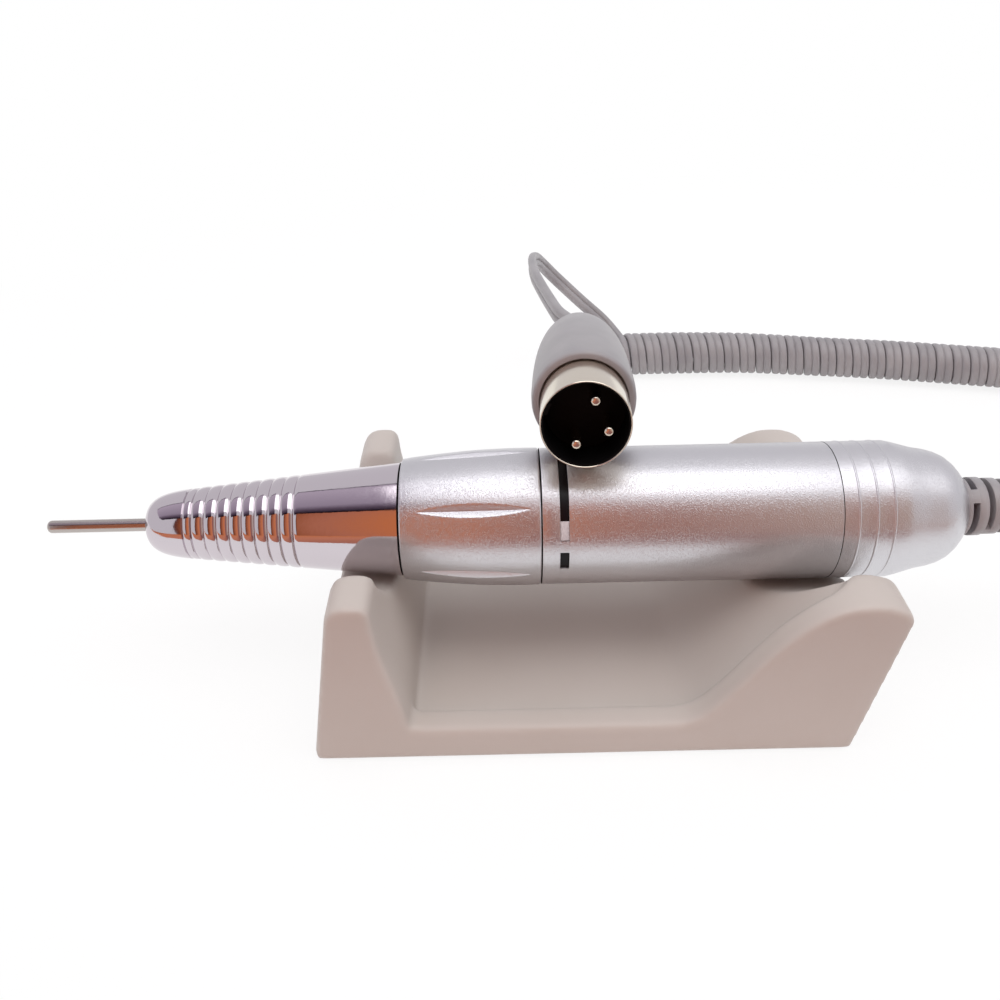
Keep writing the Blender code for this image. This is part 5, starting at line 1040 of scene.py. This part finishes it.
# The hollows under the post and the hump keep the walls even, with a rib between each pair.
wall, rib_half, ceiling = 2.6, 1.1, 0.86
hollows = (
    [(left + wall, -1.0), (left + 2.7 + wall, ceiling * nose_floor),
     (flank[0] - 2 * wall, ceiling * nose_floor), (flank[0] - wall / 2, -1.0)],
    [(ramp[0] + 2 * wall, -1.0), (ramp[0] + 2 * wall, TROUGH_FLOOR_MM / 2),
     (ramp[0] + 5 * wall, TROUGH_FLOOR_MM + wall), (left + CRADLE_LENGTH_MM - 3 * wall, ceiling * cap_floor),
     (left + CRADLE_LENGTH_MM - wall, ceiling * cap_floor), (left + CRADLE_LENGTH_MM - wall, -1.0)],
)
depth = CRADLE_WIDTH_MM / 2 - wall - rib_half
for side_outline in hollows:
    for side in (-1, 1):
        hollow = slab("hollow", side_outline, depth)
        hollow.data.transform(Matrix.Translation((0, side * (rib_half + depth / 2), 0)))
        cut_with(cradle, hollow)

# The block is remade in even small faces, which are then relaxed, so that every edge gets the
# rounding of a real moulding, about a millimetre, and the long surfaces stay as they are.
remake = cradle.modifiers.new("remake", "REMESH")
remake.mode = "VOXEL"
remake.voxel_size = 0.55
relax = cradle.modifiers.new("relax", "SMOOTH")
relax.factor = 0.5
relax.iterations = 34
mesh = worked_mesh(cradle)
bpy.data.objects.remove(cradle, do_unlink=True)
mesh.transform(Matrix.Scale(MM, 4))
points = np.empty(len(mesh.vertices) * 3)
mesh.vertices.foreach_get("co", points)
points = points.reshape(-1, 3)
points[:, 2] = np.where(points[:, 2] < 0.25 * MM, np.maximum(points[:, 2], 0.0), points[:, 2])
facing = np.empty(len(mesh.vertices) * 3)
mesh.vertices.foreach_get("normal", facing)
facing = facing.reshape(-1, 3)

# Each leaning end is one flat face, so the small waves that the remake leaves on it are pressed out.
for low, high in ((post[0], post[1]), (tail, foot)):
    lean = np.array([low[1] - high[1], 0.0, high[0] - low[0]])
    lean /= np.linalg.norm(lean)
    depth = (points - np.array([low[0], 0.0, low[1]]) * MM) @ lean
    flat = np.clip((facing @ lean - 0.97) / 0.025, 0, 1) * (np.abs(depth) < 0.6 * MM)
    points -= ((depth - np.median(depth[flat > 0.99])) * flat)[:, None] * lean

# The far side leans a little: its post stands further from the nose and its hump is shorter.
far = np.clip(points[:, 1] / (CRADLE_WIDTH_MM / 2 * MM), 0, 1)
along = (points[:, 0] / MM - left) / CRADLE_LENGTH_MM
points[:, 0] += far * (0.6 - 2.9 * along) * MM
mesh.vertices.foreach_set("co", points.ravel())
mesh.shade_smooth()

# Moulded ABS: warm pale grey, a fine spark-eroded texture from the mould and a soft even gloss.
moulded_abs, tree, shader, place = start_material("moulded_abs", "#C1B9B3", 0.46, Specular_IOR_Level=0.45)
tint(tree, shader, noise(tree, place, 25), "#BDB5AE", "#C5BEB8")
spark = noise(tree, place, 0.35)
emboss(tree, shader, spark, 0.12, 0.03)
roughen(tree, shader, spark, 0.4, 0.52)

show("cradle_moulding", mesh, moulded_abs, "cradle", "cradle")


# The works inside keep the shapes of the CAD model: motor, spindle, chuck, release parts and clamp.
# They are turned, stamped, wound, sintered or pressed, and each gets the finish that its making leaves.
def metal_works(name, colour, roughness, grain_mm, stretch=(1.0, 1.0, 1.0), depth=0.15):
    """A metal with machining or casting marks of this size, drawn out along the handpiece or not."""
    material, tree, shader, place = start_material(name, colour, roughness, 1.0)
    marks = drawn_noise(tree, place, tuple(s / (grain_mm * MM) for s in stretch), 3.0)
    roughen(tree, shader, marks, roughness * 0.75, min(1.0, roughness * 1.3))
    emboss(tree, shader, marks, depth, 0.02)
    return material


turned_steel = metal_works("turned_steel", "#A9A6A4", 0.28, 0.15, (1.0, 0.05, 0.05))
motor_steel = metal_works("zinc_plated_motor_steel", "#9C9C9F", 0.4, 2.0)
turned_brass = metal_works("turned_brass", "#B9924E", 0.26, 0.15, (1.0, 0.05, 0.05))
wound_copper = metal_works("enamelled_copper_wire", "#A4532B", 0.35, 0.3, (1.0, 0.1, 0.1), 0.6)

# Sintered ferrite magnets: dark grey and dull, with a granular ground skin.
ferrite, tree, shader, place = start_material("sintered_ferrite", "#3B3A3D", 0.6)
grains = add(tree, "ShaderNodeTexVoronoi", {"Vector": place, "Scale": 1 / (0.5 * MM)}).outputs["Distance"]
roughen(tree, shader, grains, 0.5, 0.75)
emboss(tree, shader, grains, 0.2, 0.03)

# Pressed carbon brushes: near black, with the soft shine of graphite.
pressed_carbon, tree, shader, place = start_material("pressed_graphite", "#232326", 0.45, 0.2)
grains = noise(tree, place, 0.4, 4.0)
roughen(tree, shader, grains, 0.35, 0.6)
emboss(tree, shader, grains, 0.2, 0.02)

finishes = {
    "cradle_plastic": moulded_abs, "chromed_brass": chrome_plate, "satin_silver": satin_silver,
    "bright_steel": turned_steel, "motor_steel": motor_steel, "brass": turned_brass, "copper": wound_copper,
    "ferrite": ferrite, "carbon": pressed_carbon, "nickel": nickel_plate, "black_plastic": black_nylon_and_gap_shade,
    "grey_cord": grey_vinyl,
}
for part in frame["record"]["subparts"]:
    node = bpy.data.objects.get(part["node"])
    if node is None or node.type != "MESH":
        continue
    if not node.data.materials:
        node.data.materials.append(None)
    for i in range(len(node.material_slots)):
        node.material_slots[i].material = finishes[part["material_slot"]]
